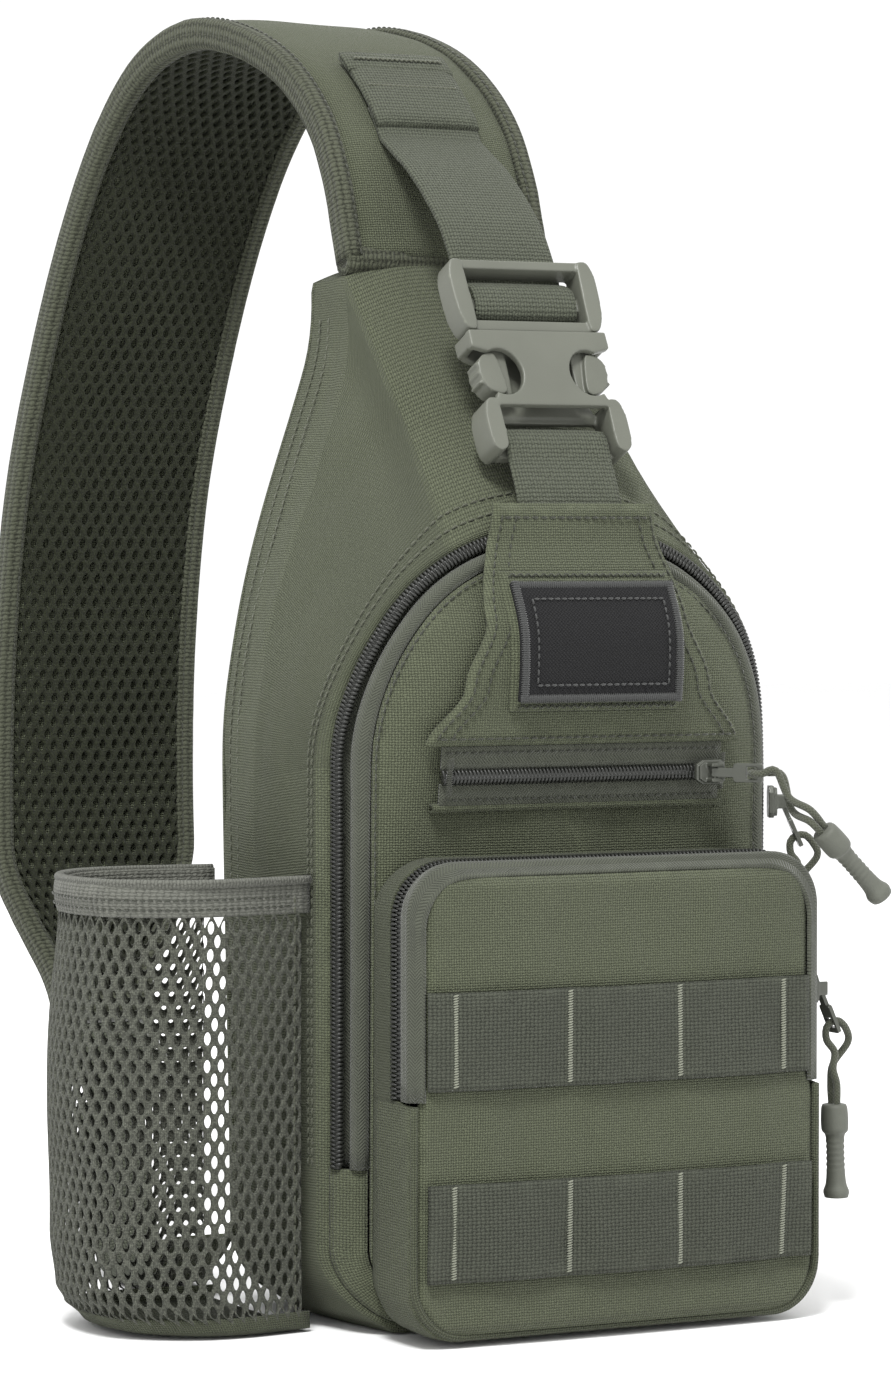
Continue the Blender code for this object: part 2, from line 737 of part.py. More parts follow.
def build_buckle():
    shell = [(-0.0235, -0.031), (0.0235, -0.031), (0.0255, -0.026), (0.0248, 0.0118), (-0.0248, 0.0118),
             (-0.0255, -0.026)]
    female = add_plate("buckle_female", shell, 0.0120, "acetal", buckle_matrix())
    bevel(female, 0.0015)
    cut(female, add_box("prong_cavity", (0.0384, 0.0300, 0.0072), None,
                        buckle_matrix(up=0.0030), cutter=True))
    for side in (-1.0, 1.0):
        cut(female, add_box(f"window_{int(side)}", (0.0110, 0.0146, 0.0300), None,
                            buckle_matrix(side * 0.0222, -0.0018), cutter=True))
    cut(female, add_box("web_slot", (0.0390, 0.0070, 0.0300), None,
                        buckle_matrix(up=-0.0235), cutter=True))

    frame = [(-0.0215, 0.0124), (0.0215, 0.0124), (0.0252, 0.0160), (0.0268, 0.0330), (0.0245, 0.0378),
             (-0.0245, 0.0378), (-0.0268, 0.0330), (-0.0252, 0.0160)]
    male = add_plate("buckle_male_frame", frame, 0.0088, "acetal", buckle_matrix())
    bevel(male, 0.0012)
    guide = add_box("guide_tongue", (0.0080, 0.0230, 0.0046), None, buckle_matrix(up=0.0030), cutter=True)
    join_to(male, guide)
    for k, (centre, tall) in enumerate(((0.0190, 0.0046), (0.0300, 0.0078))):
        cut(male, add_box(f"ladder_slot_{k}", (0.0390, tall, 0.0300), None,
                          buckle_matrix(up=centre), cutter=True))

    prong = [(-0.0025, 0.0000), (0.0025, 0.0000), (0.0027, -0.0064), (0.0090, -0.0066), (0.0088, -0.0150),
             (0.0026, -0.0216), (-0.0026, -0.0216)]
    for name, side in (("buckle_prong_left", -1.0), ("buckle_prong_right", 1.0)):
        outline = [(side * x, y) for x, y in prong]
        add_plate(name, outline, 0.0048, "acetal", buckle_matrix(side * 0.0140, 0.0112))

    lower_end = buckle_matrix(up=-0.0320).translation
    web_strip("lower_webbing", "webbing",
              [lower_end, lower_end.lerp(Vector((0.0, -0.0385, 0.2578)), 0.5), (0.0, -0.0385, 0.2578)],
              WEB_WIDTH / 2, 0.0030)
    upper_end = buckle_matrix(up=0.0386).translation
    web_strip("upper_webbing", "webbing",
              [upper_end, (0.0, 0.0140, 0.3500), (0.0, 0.0330, 0.3700), (0.0, 0.0500, 0.3835)],
              WEB_WIDTH / 2, 0.0030)
    web_strip("strap_webbing_anchor", "webbing", strap_outside(0.030, 0.066, 0.0077),
              WEB_WIDTH / 2, 0.0040)


def strap_outside(start, end, lift):
    """Points outside the strap's outer face between two distances along it."""
    stations = strap_stations(0.008)
    route = []
    travelled = 0.0
    previous = stations[0][0]
    for point, _along, _across, outward in stations:
        travelled += (point - previous).length
        previous = point
        if start <= travelled <= end:
            route.append(point + outward * lift)
    return route


# ---- zip sliders and pullers -----------------------------------------------
TAB_HOLE = 0.0122            # from the pull tab's pin to the hole for the cord
CORD_RADIUS = 0.0012
RUBBER_LENGTH = 0.0300
RUBBER_PROFILE = [(0.0032, 0.0000), (0.0046, 0.0010), (0.0048, 0.0080), (0.0034, 0.0105),
                  (0.0032, 0.0180), (0.0036, 0.0250), (0.0046, 0.0280), (0.0042, 0.0300)]


def slider_matrix(seat, along, outward):
    side = outward.cross(along)
    frame = Matrix((along, side, outward)).transposed().to_4x4()
    frame.translation = seat
    return frame


def tab_matrix(frame, tilt):
    """The pull tab's frame: its origin on the pin, X along the tab."""
    return frame @ Matrix.Translation((0.0, 0.0, 0.0045)) @ Matrix.Rotation(-tilt, 4, "Y")


def cord_points(tab, neck, aim):
    """Centre line of the looped cord, from the rubber end through the tab and back."""
    hole = tab @ Vector((TAB_HOLE, 0.0, 0.0))
    forward = tab.to_3x3() @ Vector((1.0, 0.0, 0.0))
    side = tab.to_3x3() @ Vector((0.0, 1.0, 0.0))
    over = tab.to_3x3() @ Vector((0.0, 0.0, 1.0))
    halves = []
    for sign in (1.0, -1.0):
        middle = hole.lerp(neck, 0.55) + side * (0.0020 * sign) + over * (0.0014 * sign)
        halves.append([neck - aim * 0.0014 + side * (0.0015 * sign),
                       neck - aim * 0.0060 + side * (0.0018 * sign),
                       middle,
                       hole + forward * 0.0090 + over * (0.0034 * sign) + side * (0.0010 * sign),
                       hole + forward * 0.0045 + over * (0.0040 * sign),
                       hole + forward * 0.0009 + over * (0.0026 * sign)])
    return halves[0] + [hole] + halves[1][::-1]


def add_rubber_end(name, neck, aim):
    """Waisted rubber grip, turned round its own axis."""
    builder = bmesh.new()
    profile = [(0.0, 0.0), *RUBBER_PROFILE, (0.0, RUBBER_LENGTH)]
    points = [builder.verts.new((radius, 0.0, -depth)) for radius, depth in profile]
    for a, b in zip(points, points[1:]):
        builder.edges.new((a, b))
    turn = aim.to_track_quat("-Z", "Y").to_matrix().to_4x4()
    turn.translation = neck + aim * 0.0003
    thing = add_mesh(name, builder, "rubber", turn)
    screw = thing.modifiers.new("turn", "SCREW")
    screw.steps = 12
    screw.render_steps = 12
    screw.use_merge_vertices = True
    screw.merge_threshold = 0.00001


def build_puller(prefix, seat, along, outward, tilt, neck, aim):
    """Slider, hinged pull tab, looped cord and rubber end of one zip."""
    frame = slider_matrix(seat, along, outward)
    body = add_box(f"{prefix}_slider", (0.0105, 0.0078, 0.0030), "painted_metal",
                   frame @ Matrix.Translation((0.0, 0.0, 0.0015)), 0.0008)
    for side in (-1.0, 1.0):
        ear = add_box(f"{prefix}_ear_{int(side)}", (0.0034, 0.0010, 0.0044), None,
                      frame @ Matrix.Translation((0.0, side * 0.0024, 0.0040)), cutter=True)
        join_to(body, ear)
    tab = tab_matrix(frame, tilt)
    outline = [(-0.0011, -0.0015), (0.0045, -0.0015), (0.0060, -0.0029), (0.0150, -0.0029), (0.0158, -0.0022),
               (0.0158, 0.0022), (0.0150, 0.0029), (0.0060, 0.0029), (0.0045, 0.0015), (-0.0011, 0.0015)]
    plate = add_plate(f"{prefix}_pull_tab", outline, 0.0014, "painted_metal", tab)
    hole = add_box(f"{prefix}_tab_hole", (0.0036, 0.0038, 0.0200), None,
                   tab @ Matrix.Translation((TAB_HOLE, 0.0, 0.0)), cutter=True)
    cut(plate, hole)
    add_tube(f"{prefix}_pull_cord", smooth_line(cord_points(tab, neck, aim), 0.0040), CORD_RADIUS, "cord")
    add_rubber_end(f"{prefix}_pull_grip", neck, aim)


def build_pullers():
    down = Vector((0.0, 0.0, -1.0))
    slit_seat = Vector((0.0430, front_y(0.0430, SLIT_Z) - SLIT_COIL_LIFT - 0.0022 - GAP, SLIT_Z))
    build_puller("slit", slit_seat, Vector((1.0, 0.0, 0.0)), Vector((0.0, -1.0, 0.0)), math.radians(50.0),
                 Vector((0.0642, -0.0850, 0.1552)), Vector((0.70, -0.04, -0.71)).normalized())
    build_puller("organizer", Vector((ORG_HALF - 0.0010 + 0.0021 + GAP, ORG_ZIP_Y - 0.0026, 0.1030)), down,
                 Vector((1.0, 0.0, 0.0)), math.radians(24.0),
                 Vector((0.0850, ORG_ZIP_Y - 0.0026, 0.0660)), Vector((0.03, 0.0, -1.0)).normalized())
    side_x = ARCH_HALF - COIL_INSET
    outward = Vector((0.90, -0.43, 0.0)).normalized()
    seat = Vector((side_x, front_y(side_x, 0.1610), 0.1610)) + outward * (0.0004 + COIL_RADIUS + GAP)
    build_puller("main", seat, down, outward, math.radians(24.0),
                 seat + outward * 0.0085 + down * 0.0385, down)


clear_scene()
BAG = make_collection("sling_bag")
CUTTERS = make_collection("cutters")
build_main_section()
build_front_pieces()
build_organizer()
build_bottle_pocket()
build_strap()
build_buckle()
build_pullers()
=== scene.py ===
"""Looks of the sling bag: cloth, mesh, webbing, zips, stitching and plastic round its CAD frame.

Metres, +Z up, the bag's front towards -Y. The outlines repeat the frame's own dimensions.
"""
import math

import bmesh
import bpy
from mathutils import Matrix, Vector, kdtree, noise


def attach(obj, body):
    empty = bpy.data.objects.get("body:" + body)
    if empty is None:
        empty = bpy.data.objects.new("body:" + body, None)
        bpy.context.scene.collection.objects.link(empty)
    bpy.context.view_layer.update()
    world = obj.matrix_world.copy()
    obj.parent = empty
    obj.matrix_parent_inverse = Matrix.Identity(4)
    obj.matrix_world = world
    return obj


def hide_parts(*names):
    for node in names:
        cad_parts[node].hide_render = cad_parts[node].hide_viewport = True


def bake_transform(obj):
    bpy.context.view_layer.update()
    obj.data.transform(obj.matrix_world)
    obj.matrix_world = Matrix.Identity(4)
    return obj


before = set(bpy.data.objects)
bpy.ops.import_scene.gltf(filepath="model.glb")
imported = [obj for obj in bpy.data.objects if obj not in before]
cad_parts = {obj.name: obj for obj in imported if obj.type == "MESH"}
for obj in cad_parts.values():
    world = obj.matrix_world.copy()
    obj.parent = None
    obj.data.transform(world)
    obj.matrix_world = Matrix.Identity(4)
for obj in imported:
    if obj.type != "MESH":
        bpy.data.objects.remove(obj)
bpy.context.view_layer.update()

# ---- the frame's dimensions --------------------------------------------------
CLOTH = 0.0016
ARCH_HALF, ARCH_SIDE_TOP, ARCH_TOP, ARCH_CORNER = 0.080, 0.175, 0.252, 0.026
ZIP_EDGE_Y = -0.020
BODY_HALF, BODY_SIDE_TOP, BODY_TOP, TOP_HALF = 0.0845, 0.170, 0.338, 0.0385
BACK_INSET = 0.0045
COIL_INSET, COIL_RADIUS = 0.0037, 0.0021
ORG_HALF, ORG_BACK_HALF, ORG_BOTTOM, ORG_TOP, ORG_CORNER = 0.073, 0.0685, 0.0015, 0.1475, 0.017
ORG_ZIP_Y, ORG_FRONT_Y, ORG_CROWN_Y, ORG_SPLIT_Z = -0.0570, -0.0700, -0.0735, 0.0745
SLIT_Z, SLIT_HALF, SLIT_TAPE_LIFT, SLIT_COIL_LIFT = 0.1723, 0.050, 0.0032, 0.0048
YOKE_BOTTOM, YOKE_TOP, YOKE_LIFT, YOKE_CAP = 0.1820, 0.2570, 0.0056, 0.245
POCKET_TOP, POCKET_OUT, POCKET_FRONT_Y, POCKET_REAR_Y = 0.1405, 0.066, -0.0195, 0.044
ELASTIC_TALL = 0.0105
STRAP_HALF, BINDING_WIDE = 0.038, 0.0065
MESH_LOW, PAD_LOW, PAD_HIGH = -0.0043, -0.0017, 0.0043
TAB_HALF_THICK = 0.0007
HANGING_TILT = math.radians(24.0)
WEB_HALF = 0.019
BUCKLE_CENTRE = Vector((0.0, -0.0170, 0.2990))
BUCKLE_LEAN = math.radians(26.0)
ACROSS = Vector((1.0, 0.0, 0.0))
DOWN = Vector((0.0, 0.0, -1.0))

STRAP_ROUTE = [
    (0.000, 0.0500, 0.3475), (0.000, 0.0560, 0.3640), (0.000, 0.0690, 0.3840), (-0.002, 0.0900, 0.4020),
    (-0.006, 0.1170, 0.4140), (-0.011, 0.1450, 0.4180), (-0.017, 0.1700, 0.4090), (-0.023, 0.1890, 0.3870),
    (-0.030, 0.2020, 0.3540), (-0.038, 0.2100, 0.3120), (-0.046, 0.2140, 0.2640), (-0.052, 0.2120, 0.2120),
    (-0.057, 0.2040, 0.1620), (-0.062, 0.1900, 0.1180), (-0.067, 0.1730, 0.0840),
]
LOWER_WEB_ROUTE = [
    (-0.0716, 0.1560, 0.0530), (-0.0740, 0.1460, 0.0330), (-0.0770, 0.1330, 0.0130), (-0.0795, 0.1190, 0.0030),
    (-0.0820, 0.1040, 0.0013), (-0.0840, 0.0860, 0.0013), (-0.0855, 0.0755, 0.0032), (-0.0862, 0.0670, 0.0085),
]


# ---- small maths ---------------------------------------------------------------
def ease(value, low, high):
    t = min(1.0, max(0.0, (value - low) / (high - low)))
    return t * t * (3.0 - 2.0 * t)


def through(value, stops):
    """Smooth value through (position, value) stops."""
    if value <= stops[0][0]:
        return stops[0][1]
    for (low, a), (high, b) in zip(stops, stops[1:]):
        if value <= high:
            return a + (b - a) * ease(value, low, high)
    return stops[-1][1]


def smooth_line(route, step):
    """Points about one step apart on a Catmull-Rom curve through the route."""
    points = [Vector(point) for point in route]
    padded = [points[0] * 2 - points[1], *points, points[-1] * 2 - points[-2]]
    line = [points[0]]
    for p0, p1, p2, p3 in zip(padded, padded[1:], padded[2:], padded[3:]):
        count = max(1, round((p2 - p1).length / step))
        for k in range(1, count + 1):
            t = k / count
            line.append(0.5 * (2 * p1 + (p2 - p0) * t + (2 * p0 - 5 * p1 + 4 * p2 - p3) * t ** 2
                               + (3 * p1 - p0 - 3 * p2 + p3) * t ** 3))
    return line


def line_length(points):
    return sum((b - a).length for a, b in zip(points, points[1:]))


def respaced(points, step, closed=False):
    """Points evenly about one step apart along a polyline."""
    line = list(points) + ([points[0]] if closed else [])
    total = line_length(line)
    count = max(1, round(total / step))
    out = []
    travelled, index = 0.0, 0
    for k in range(count + (0 if closed else 1)):
        target = total * k / count
        while index < len(line) - 2 and travelled + (line[index + 1] - line[index]).length < target:
            travelled += (line[index + 1] - line[index]).length
            index += 1
        length = (line[index + 1] - line[index]).length or 1.0
        out.append(line[index].lerp(line[index + 1], min(1.0, (target - travelled) / length)))
    return out


def rough(point, scale, seed=0.0):
    """Smooth noise about -1 to 1 at a point, with features 1/scale metres across."""
    return noise.noise(Vector(point) * scale + Vector((seed, 3.7 * seed, -seed)))


# ---- materials -------------------------------------------------------------------
class Graph:
    """Short calls for a material's nodes. A value is a number, a colour or another node's output."""

    def __init__(self, material):
        self.tree = material.node_tree
        self.shader = self.tree.nodes["Principled BSDF"]

    def put(self, value, socket):
        if isinstance(value, bpy.types.NodeSocket):
            self.tree.links.new(value, socket)
        else:
            socket.default_value = value

    def node(self, kind, output, inputs=(), **settings):
        made = self.tree.nodes.new(kind)
        for key, value in settings.items():
            setattr(made, key, value)
        for key, value in inputs:
            self.put(value, made.inputs[key])
        return made.outputs[output]

    def math(self, operation, *values):
        return self.node("ShaderNodeMath", 0, list(enumerate(values)), operation=operation)

    def mix(self, factor, first, second):
        return self.node("ShaderNodeMix", 2, [(0, factor), (6, first), (7, second)], data_type="RGBA")

    def steps(self, value, low, high, to_low=0.0, to_high=1.0):
        inputs = [(0, value), (1, low), (2, high), (3, to_low), (4, to_high)]
        return self.node("ShaderNodeMapRange", 0, inputs, interpolation_type="SMOOTHSTEP")

    def noise(self, scale, detail=3.0, vector=None):
        vector = vector or self.place()
        inputs = [("Vector", vector), ("Scale", scale), ("Detail", detail)]
        return self.node("ShaderNodeTexNoise", 0, inputs)

    def place(self):
        return self.node("ShaderNodeTexCoord", "Object")

    def flat(self):
        """The two coordinates of the piece's UV map, in metres."""
        split = self.tree.nodes.new("ShaderNodeSeparateXYZ")
        self.tree.links.new(self.node("ShaderNodeUVMap", 0, uv_map="UVMap"), split.inputs[0])
        return split.outputs[0], split.outputs[1]

    def wave(self, value):
        """0 to 1 to 0 once each unit."""
        return self.math("ABSOLUTE", self.math("SINE", self.math("MULTIPLY", value, math.pi)))

    def woven(self, u, v):
        """Height of a plain weave with threads one unit apart."""
        def over(value, swing):
            turned = self.math("SINE", self.math("MULTIPLY", value, math.pi))
            return self.math("MULTIPLY_ADD", turned, swing, 0.5)

        warp = self.math("MULTIPLY", self.wave(u), over(self.math("ADD", v, self.math("FLOOR", u)), 0.5))
        weft = self.math("MULTIPLY", self.wave(v), over(self.math("ADD", u, self.math("FLOOR", v)), -0.5))
        return self.math("MAXIMUM", warp, weft)

    def bump(self, height, distance, strength=1.0):
        inputs = [("Height", height), ("Distance", distance), ("Strength", strength)]
        self.put(self.node("ShaderNodeBump", 0, inputs), self.shader.inputs["Normal"])


def srgb(red, green, blue):
    """Linear colour from 0-255 values."""
    def linear(value):
        value /= 255.0
        return value / 12.92 if value <= 0.04045 else ((value + 0.055) / 1.055) ** 2.4
    return linear(red), linear(green), linear(blue), 1.0


def scaled(colour, factor):
    return tuple(channel * factor for channel in colour[:3]) + (1.0,)


def base_material(name, roughness, sheen=0.0, specular=0.5, metallic=0.0, coat=0.0):
    material = bpy.data.materials.new(name)
    material.use_nodes = True
    graph = Graph(material)
    inputs = graph.shader.inputs
    inputs["Roughness"].default_value = roughness
    inputs["Sheen Weight"].default_value = sheen
    inputs["Sheen Roughness"].default_value = 0.45
    inputs["Specular IOR Level"].default_value = specular
    inputs["Metallic"].default_value = metallic
    inputs["Coat Weight"].default_value = coat
    return material, graph


def finish_colour(graph, colour, height, gap=0.45, mottle=0.10, wear=0.35):
    """Threads darker in their gaps, uneven dye, and paler worn edges."""
    threads = graph.mix(graph.steps(height, 0.0, 0.75), scaled(colour, gap), colour)
    patchy = graph.steps(graph.noise(38.0, 4.0), 0.3, 0.7)
    dyed = graph.mix(graph.math("MULTIPLY", patchy, mottle * 2.5), threads, scaled(colour, 0.72))
    worn = graph.node("ShaderNodeAttribute", 2, attribute_name="wear")
    amount = graph.math("MULTIPLY", worn, graph.steps(graph.noise(160.0), 0.35, 0.75, 0.0, wear))
    graph.put(graph.mix(amount, dyed, scaled(colour, 1.55)), graph.shader.inputs["Base Color"])


def cloth(name, colour, pitch, depth, roughness=0.86, sheen=0.22, gap=0.45, diagonal=False, mottle=0.10):
    """Woven cloth or webbing: threads pitch[0] apart across and pitch[1] apart along its UV map."""
    material, graph = base_material(name, roughness, sheen, 0.25)
    u, v = graph.flat()
    wobble = graph.steps(graph.noise(900.0, 1.0), 0.0, 1.0, -0.22, 0.22)
    if diagonal:
        u, v = graph.math("ADD", u, v), graph.math("SUBTRACT", u, v)
    across = graph.math("ADD", graph.math("DIVIDE", u, pitch[0]), wobble)
    along = graph.math("ADD", graph.math("DIVIDE", v, pitch[1]), wobble)
    height = graph.woven(across, along)
    finish_colour(graph, colour, height, gap, mottle)
    fuzz = graph.math("MULTIPLY_ADD", graph.noise(2600.0, 2.0), 0.35, height)
    graph.bump(fuzz, depth)
    rough_from = graph.steps(height, 0.0, 1.0, min(1.0, roughness + 0.1), roughness - 0.08)
    graph.put(rough_from, graph.shader.inputs["Roughness"])
    return material


def herringbone(name, colour, pitch=0.0011, chevron=0.0042, depth=0.0003):
    """Zip tape: slanting ribs that turn at each chevron."""
    material, graph = base_material(name, 0.8, 0.2, 0.3)
    u, v = graph.flat()
    turn = graph.math("PINGPONG", v, chevron / 2)
    ribs = graph.wave(graph.math("DIVIDE", graph.math("ADD", u, turn), pitch))
    spine = graph.steps(turn, 0.0, 0.0003, 0.6, 1.0)
    height = graph.math("MULTIPLY", ribs, spine)
    finish_colour(graph, colour, height, 0.55, 0.08)
    graph.bump(height, depth)
    return material


def holed_knit(name, colour, pitch=(0.0046, 0.0042), dark=0.25):
    """Spacer mesh: staggered oval cells sunk into a knitted face, with painted shade in the cells."""
    material, graph = base_material(name, 0.92, 0.15, 0.2)
    split = graph.tree.nodes.new("ShaderNodeSeparateXYZ")
    graph.put(graph.place(), split.inputs[0])
    cells = []
    for shift in (0.0, 0.5):
        parts = []
        for axis, size in ((0, pitch[0]), (2, pitch[1])):
            moved = graph.math("MULTIPLY_ADD", split.outputs[axis], 1.0 / size, shift)
            parts.append(graph.math("SUBTRACT", graph.math("FRACT", moved), 0.5))
        wide = graph.math("MULTIPLY", parts[0], 1.35)
        squares = graph.math("ADD", graph.math("POWER", wide, 2.0), graph.math("POWER", parts[1], 2.0))
        cells.append(graph.math("SQRT", squares))
    near = graph.math("MINIMUM", *cells)
    rim = graph.steps(near, 0.27, 0.36)
    fibres = graph.noise(1500.0, 2.0)
    face = graph.mix(fibres, scaled(colour, 0.7), scaled(colour, 1.3))
    # Painted shade: inside the cells the colour falls to a quarter, as the shade in the holes.
    graph.put(graph.mix(rim, scaled(colour, dark), face), graph.shader.inputs["Base Color"])
    graph.bump(graph.math("MULTIPLY_ADD", fibres, 0.2, rim), 0.0011)
    return material


def knit(name, colour):
    """The cord-like ribs of an open mesh, fine threads running along them."""
    material, graph = base_material(name, 0.85, 0.06, 0.3)
    u, v = graph.flat()
    threads = graph.woven(graph.math("DIVIDE", u, 0.0006), graph.math("DIVIDE", v, 0.0005))
    speckle = graph.steps(graph.noise(1400.0, 2.0), 0.35, 0.65)
    shade = graph.mix(speckle, scaled(colour, 0.62), scaled(colour, 1.35))
    graph.put(graph.mix(graph.steps(threads, 0.0, 0.6), scaled(colour, 0.4), shade),
              graph.shader.inputs["Base Color"])
    graph.bump(graph.math("ADD", threads, speckle), 0.00022)
    return material


def moulded_plastic(name, colour, roughness=0.42, grain=0.00006):
    """Satin acetal: fine spark-eroded grain, faint flow marks and rubbed high spots."""
    material, graph = base_material(name, roughness, 0.0, 0.42)
    flow = graph.steps(graph.noise(28.0, 3.0), 0.3, 0.7)
    rubbed = graph.node("ShaderNodeNewGeometry", "Pointiness")
    worn = graph.math("MULTIPLY", graph.steps(rubbed, 0.52, 0.60), graph.noise(300.0))
    body = graph.mix(flow, scaled(colour, 0.92), scaled(colour, 1.06))
    graph.put(graph.mix(worn, body, scaled(colour, 1.5)), graph.shader.inputs["Base Color"])
    graph.put(graph.steps(graph.noise(90.0, 4.0), 0.3, 0.7, roughness - 0.06, roughness + 0.08),
              graph.shader.inputs["Roughness"])
    graph.bump(graph.noise(2200.0, 3.0), grain)
    return material


def painted_metal(name, colour):
    material, graph = base_material(name, 0.38, 0.0, 0.5, 0.35, 0.15)
    chips = graph.steps(graph.noise(420.0, 4.0), 0.66, 0.72)
    edges = graph.steps(graph.node("ShaderNodeNewGeometry", "Pointiness"), 0.53, 0.62)
    bare = graph.math("MULTIPLY", chips, edges)
    paint = graph.mix(graph.noise(120.0), scaled(colour, 0.85), scaled(colour, 1.12))
    graph.put(graph.mix(bare, paint, srgb(150, 148, 142)), graph.shader.inputs["Base Color"])
    graph.put(graph.steps(graph.noise(300.0, 3.0), 0.3, 0.7, 0.30, 0.48), graph.shader.inputs["Roughness"])
    graph.bump(graph.noise(900.0, 2.0), 0.00008)
    return material


def soft_rubber(name, colour):
    material, graph = base_material(name, 0.62, 0.08, 0.35)
    dust = graph.steps(graph.noise(220.0, 5.0), 0.45, 0.75, 0.0, 0.4)
    graph.put(graph.mix(dust, colour, scaled(colour, 1.3)), graph.shader.inputs["Base Color"])
    graph.bump(graph.noise(1800.0, 3.0), 0.0001)
    return material


def thread(name, colour):
    """Sewing thread: twisted plies and a little lustre."""
    material, graph = base_material(name, 0.6, 0.3, 0.4)
    plies = graph.noise(3200.0, 1.0)
    graph.put(graph.mix(plies, scaled(colour, 0.6), scaled(colour, 1.35)), graph.shader.inputs["Base Color"])
    graph.bump(plies, 0.0001)
    return material


def fleece(name, colour, scale=1500.0):
    """Brushed loop or foam: a matt nap of tiny tufts."""
    material, graph = base_material(name, 0.97, 0.35, 0.1)
    tufts = graph.noise(scale, 4.0)
    graph.put(graph.mix(graph.steps(tufts, 0.3, 0.7), scaled(colour, 0.5), scaled(colour, 1.35)),
              graph.shader.inputs["Base Color"])
    graph.bump(tufts, 0.0006)
    return material


OLIVE = srgb(89, 94, 74)
LOOK = {
    "oxford": cloth("oxford", OLIVE, (0.00084, 0.00084), 0.00062, sheen=0.06, gap=0.24),
    # Painted shade: the same oxford cloth at 0.8 of its colour, for the back panel, the organizer's sides, the
    # welt and the pocket base, which sit in shade.
    "oxford_dark": cloth("oxford_dark", scaled(OLIVE, 0.8), (0.00084, 0.00084), 0.00062, sheen=0.06, gap=0.24),
    "webbing": cloth("webbing", srgb(80, 84, 71), (0.0011, 0.0014), 0.00055, sheen=0.06, gap=0.26),
    "molle": cloth("molle", srgb(68, 71, 61), (0.0011, 0.0014), 0.00055, sheen=0.04, gap=0.26),
    "binding": cloth("binding", srgb(72, 75, 61), (0.0030, 0.0016), 0.00060, sheen=0.06, gap=0.22),
    "elastic": cloth("elastic", srgb(98, 99, 92), (0.0022, 0.0011), 0.00042, sheen=0.08, gap=0.45),
    "lining": cloth("lining", srgb(72, 74, 68), (0.0004, 0.0004), 0.00012, sheen=0.4),
    "tape": herringbone("tape", srgb(72, 75, 64)),
    "knit": knit("knit", srgb(80, 82, 73)),
    "strap_knit": knit("strap_knit", srgb(33, 37, 20)),
    "air_mesh": holed_knit("air_mesh", srgb(46, 49, 34), (0.0047, 0.0085)),
    "acetal": moulded_plastic("acetal", srgb(92, 94, 85)),
    "coil": moulded_plastic("coil", srgb(40, 41, 38), 0.36),
    "metal": painted_metal("painted_metal", srgb(76, 78, 71)),
    "cord": cloth("cord", srgb(80, 83, 70), (0.0011, 0.0011), 0.0003, diagonal=True),
    "rubber": soft_rubber("rubber", srgb(86, 88, 80)),
    "thread": thread("thread", srgb(66, 69, 53)),
    "pale_thread": thread("pale_thread", srgb(118, 121, 106)),
    "border_thread": thread("border_thread", srgb(48, 49, 48)),
    "dark_thread": thread("dark_thread", srgb(40, 43, 31)),
    "patch": cloth("patch", srgb(30, 30, 31), (0.0012, 0.0012), 0.0005, sheen=0.01, gap=0.5, diagonal=True),
    "patch_loop": fleece("patch_loop", srgb(58, 61, 46)),
    "foam": fleece("foam", srgb(52, 52, 52), 900.0),
    "board": moulded_plastic("board", srgb(44, 44, 46), 0.6),
}


# ---- meshes -----------------------------------------------------------------------
def place(thing, body, look, slot, *nodes):
    """Give a finished piece its look and its body, and hide the CAD nodes it stands for. The slot argument is
    not used.
    """
    if not thing.data.materials:
        thing.data.materials.append(LOOK[look])
    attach(thing, body)
    if nodes:
        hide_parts(*nodes)
    return thing


def link(name, mesh):
    thing = bpy.data.objects.new(name, mesh)
    bpy.context.scene.collection.objects.link(thing)
    return thing


def face_toward(mesh, outward):
    """Turn the faces so that most of them look along outward, a vector or a function of a point."""
    total = 0.0
    for polygon in mesh.polygons:
        aim = outward(polygon.center) if callable(outward) else outward
        total += aim.dot(polygon.normal) * polygon.area
    if total < 0.0:
        mesh.flip_normals()


ANY_WAY = Vector((0.0, 0.0, 0.0))       # for a grid whose faces are turned afterwards


def grid(name, rows, outward, closed=False, planar=False, wear_width=0.004):
    """Smooth quads between rows of points, with a UV map in metres and wear along open edges."""
    columns = len(rows[0])
    last = columns if closed else columns - 1
    middle = rows[len(rows) // 2]
    across, along = [0.0], [0.0]
    for k in range(columns):
        across.append(across[-1] + (middle[(k + 1) % columns] - middle[k]).length)
    for a, b in zip(rows, rows[1:]):
        along.append(along[-1] + sum((q - p).length for p, q in zip(a, b)) / columns)
    faces, coordinates = [], []
    for r in range(len(rows) - 1):
        for i in range(last):
            j = (i + 1) % columns
            faces.append((r * columns + i, r * columns + j, (r + 1) * columns + j, (r + 1) * columns + i))
            corners = ((r, i), (r, i + 1), (r + 1, i + 1), (r + 1, i))
            if planar:
                coordinates += [(rows[a][b % columns].x, rows[a][b % columns].z) for a, b in corners]
            else:
                coordinates += [(across[b], along[a]) for a, b in corners]
    mesh = bpy.data.meshes.new(name)
    mesh.from_pydata([point for row in rows for point in row], [], faces)
    layer = mesh.uv_layers.new(name="UVMap")
    layer.data.foreach_set("uv", [value for pair in coordinates for value in pair])
    wear = mesh.attributes.new("wear", "FLOAT", "POINT")
    values = []
    for r in range(len(rows)):
        for i in range(columns):
            near = min(along[r], along[-1] - along[r])
            if not closed:
                near = min(near, across[i], across[columns - 1] - across[i])
            values.append(math.exp(-near / wear_width))
    wear.data.foreach_set("value", values)
    face_toward(mesh, outward)
    mesh.shade_smooth()
    return link(name, mesh)


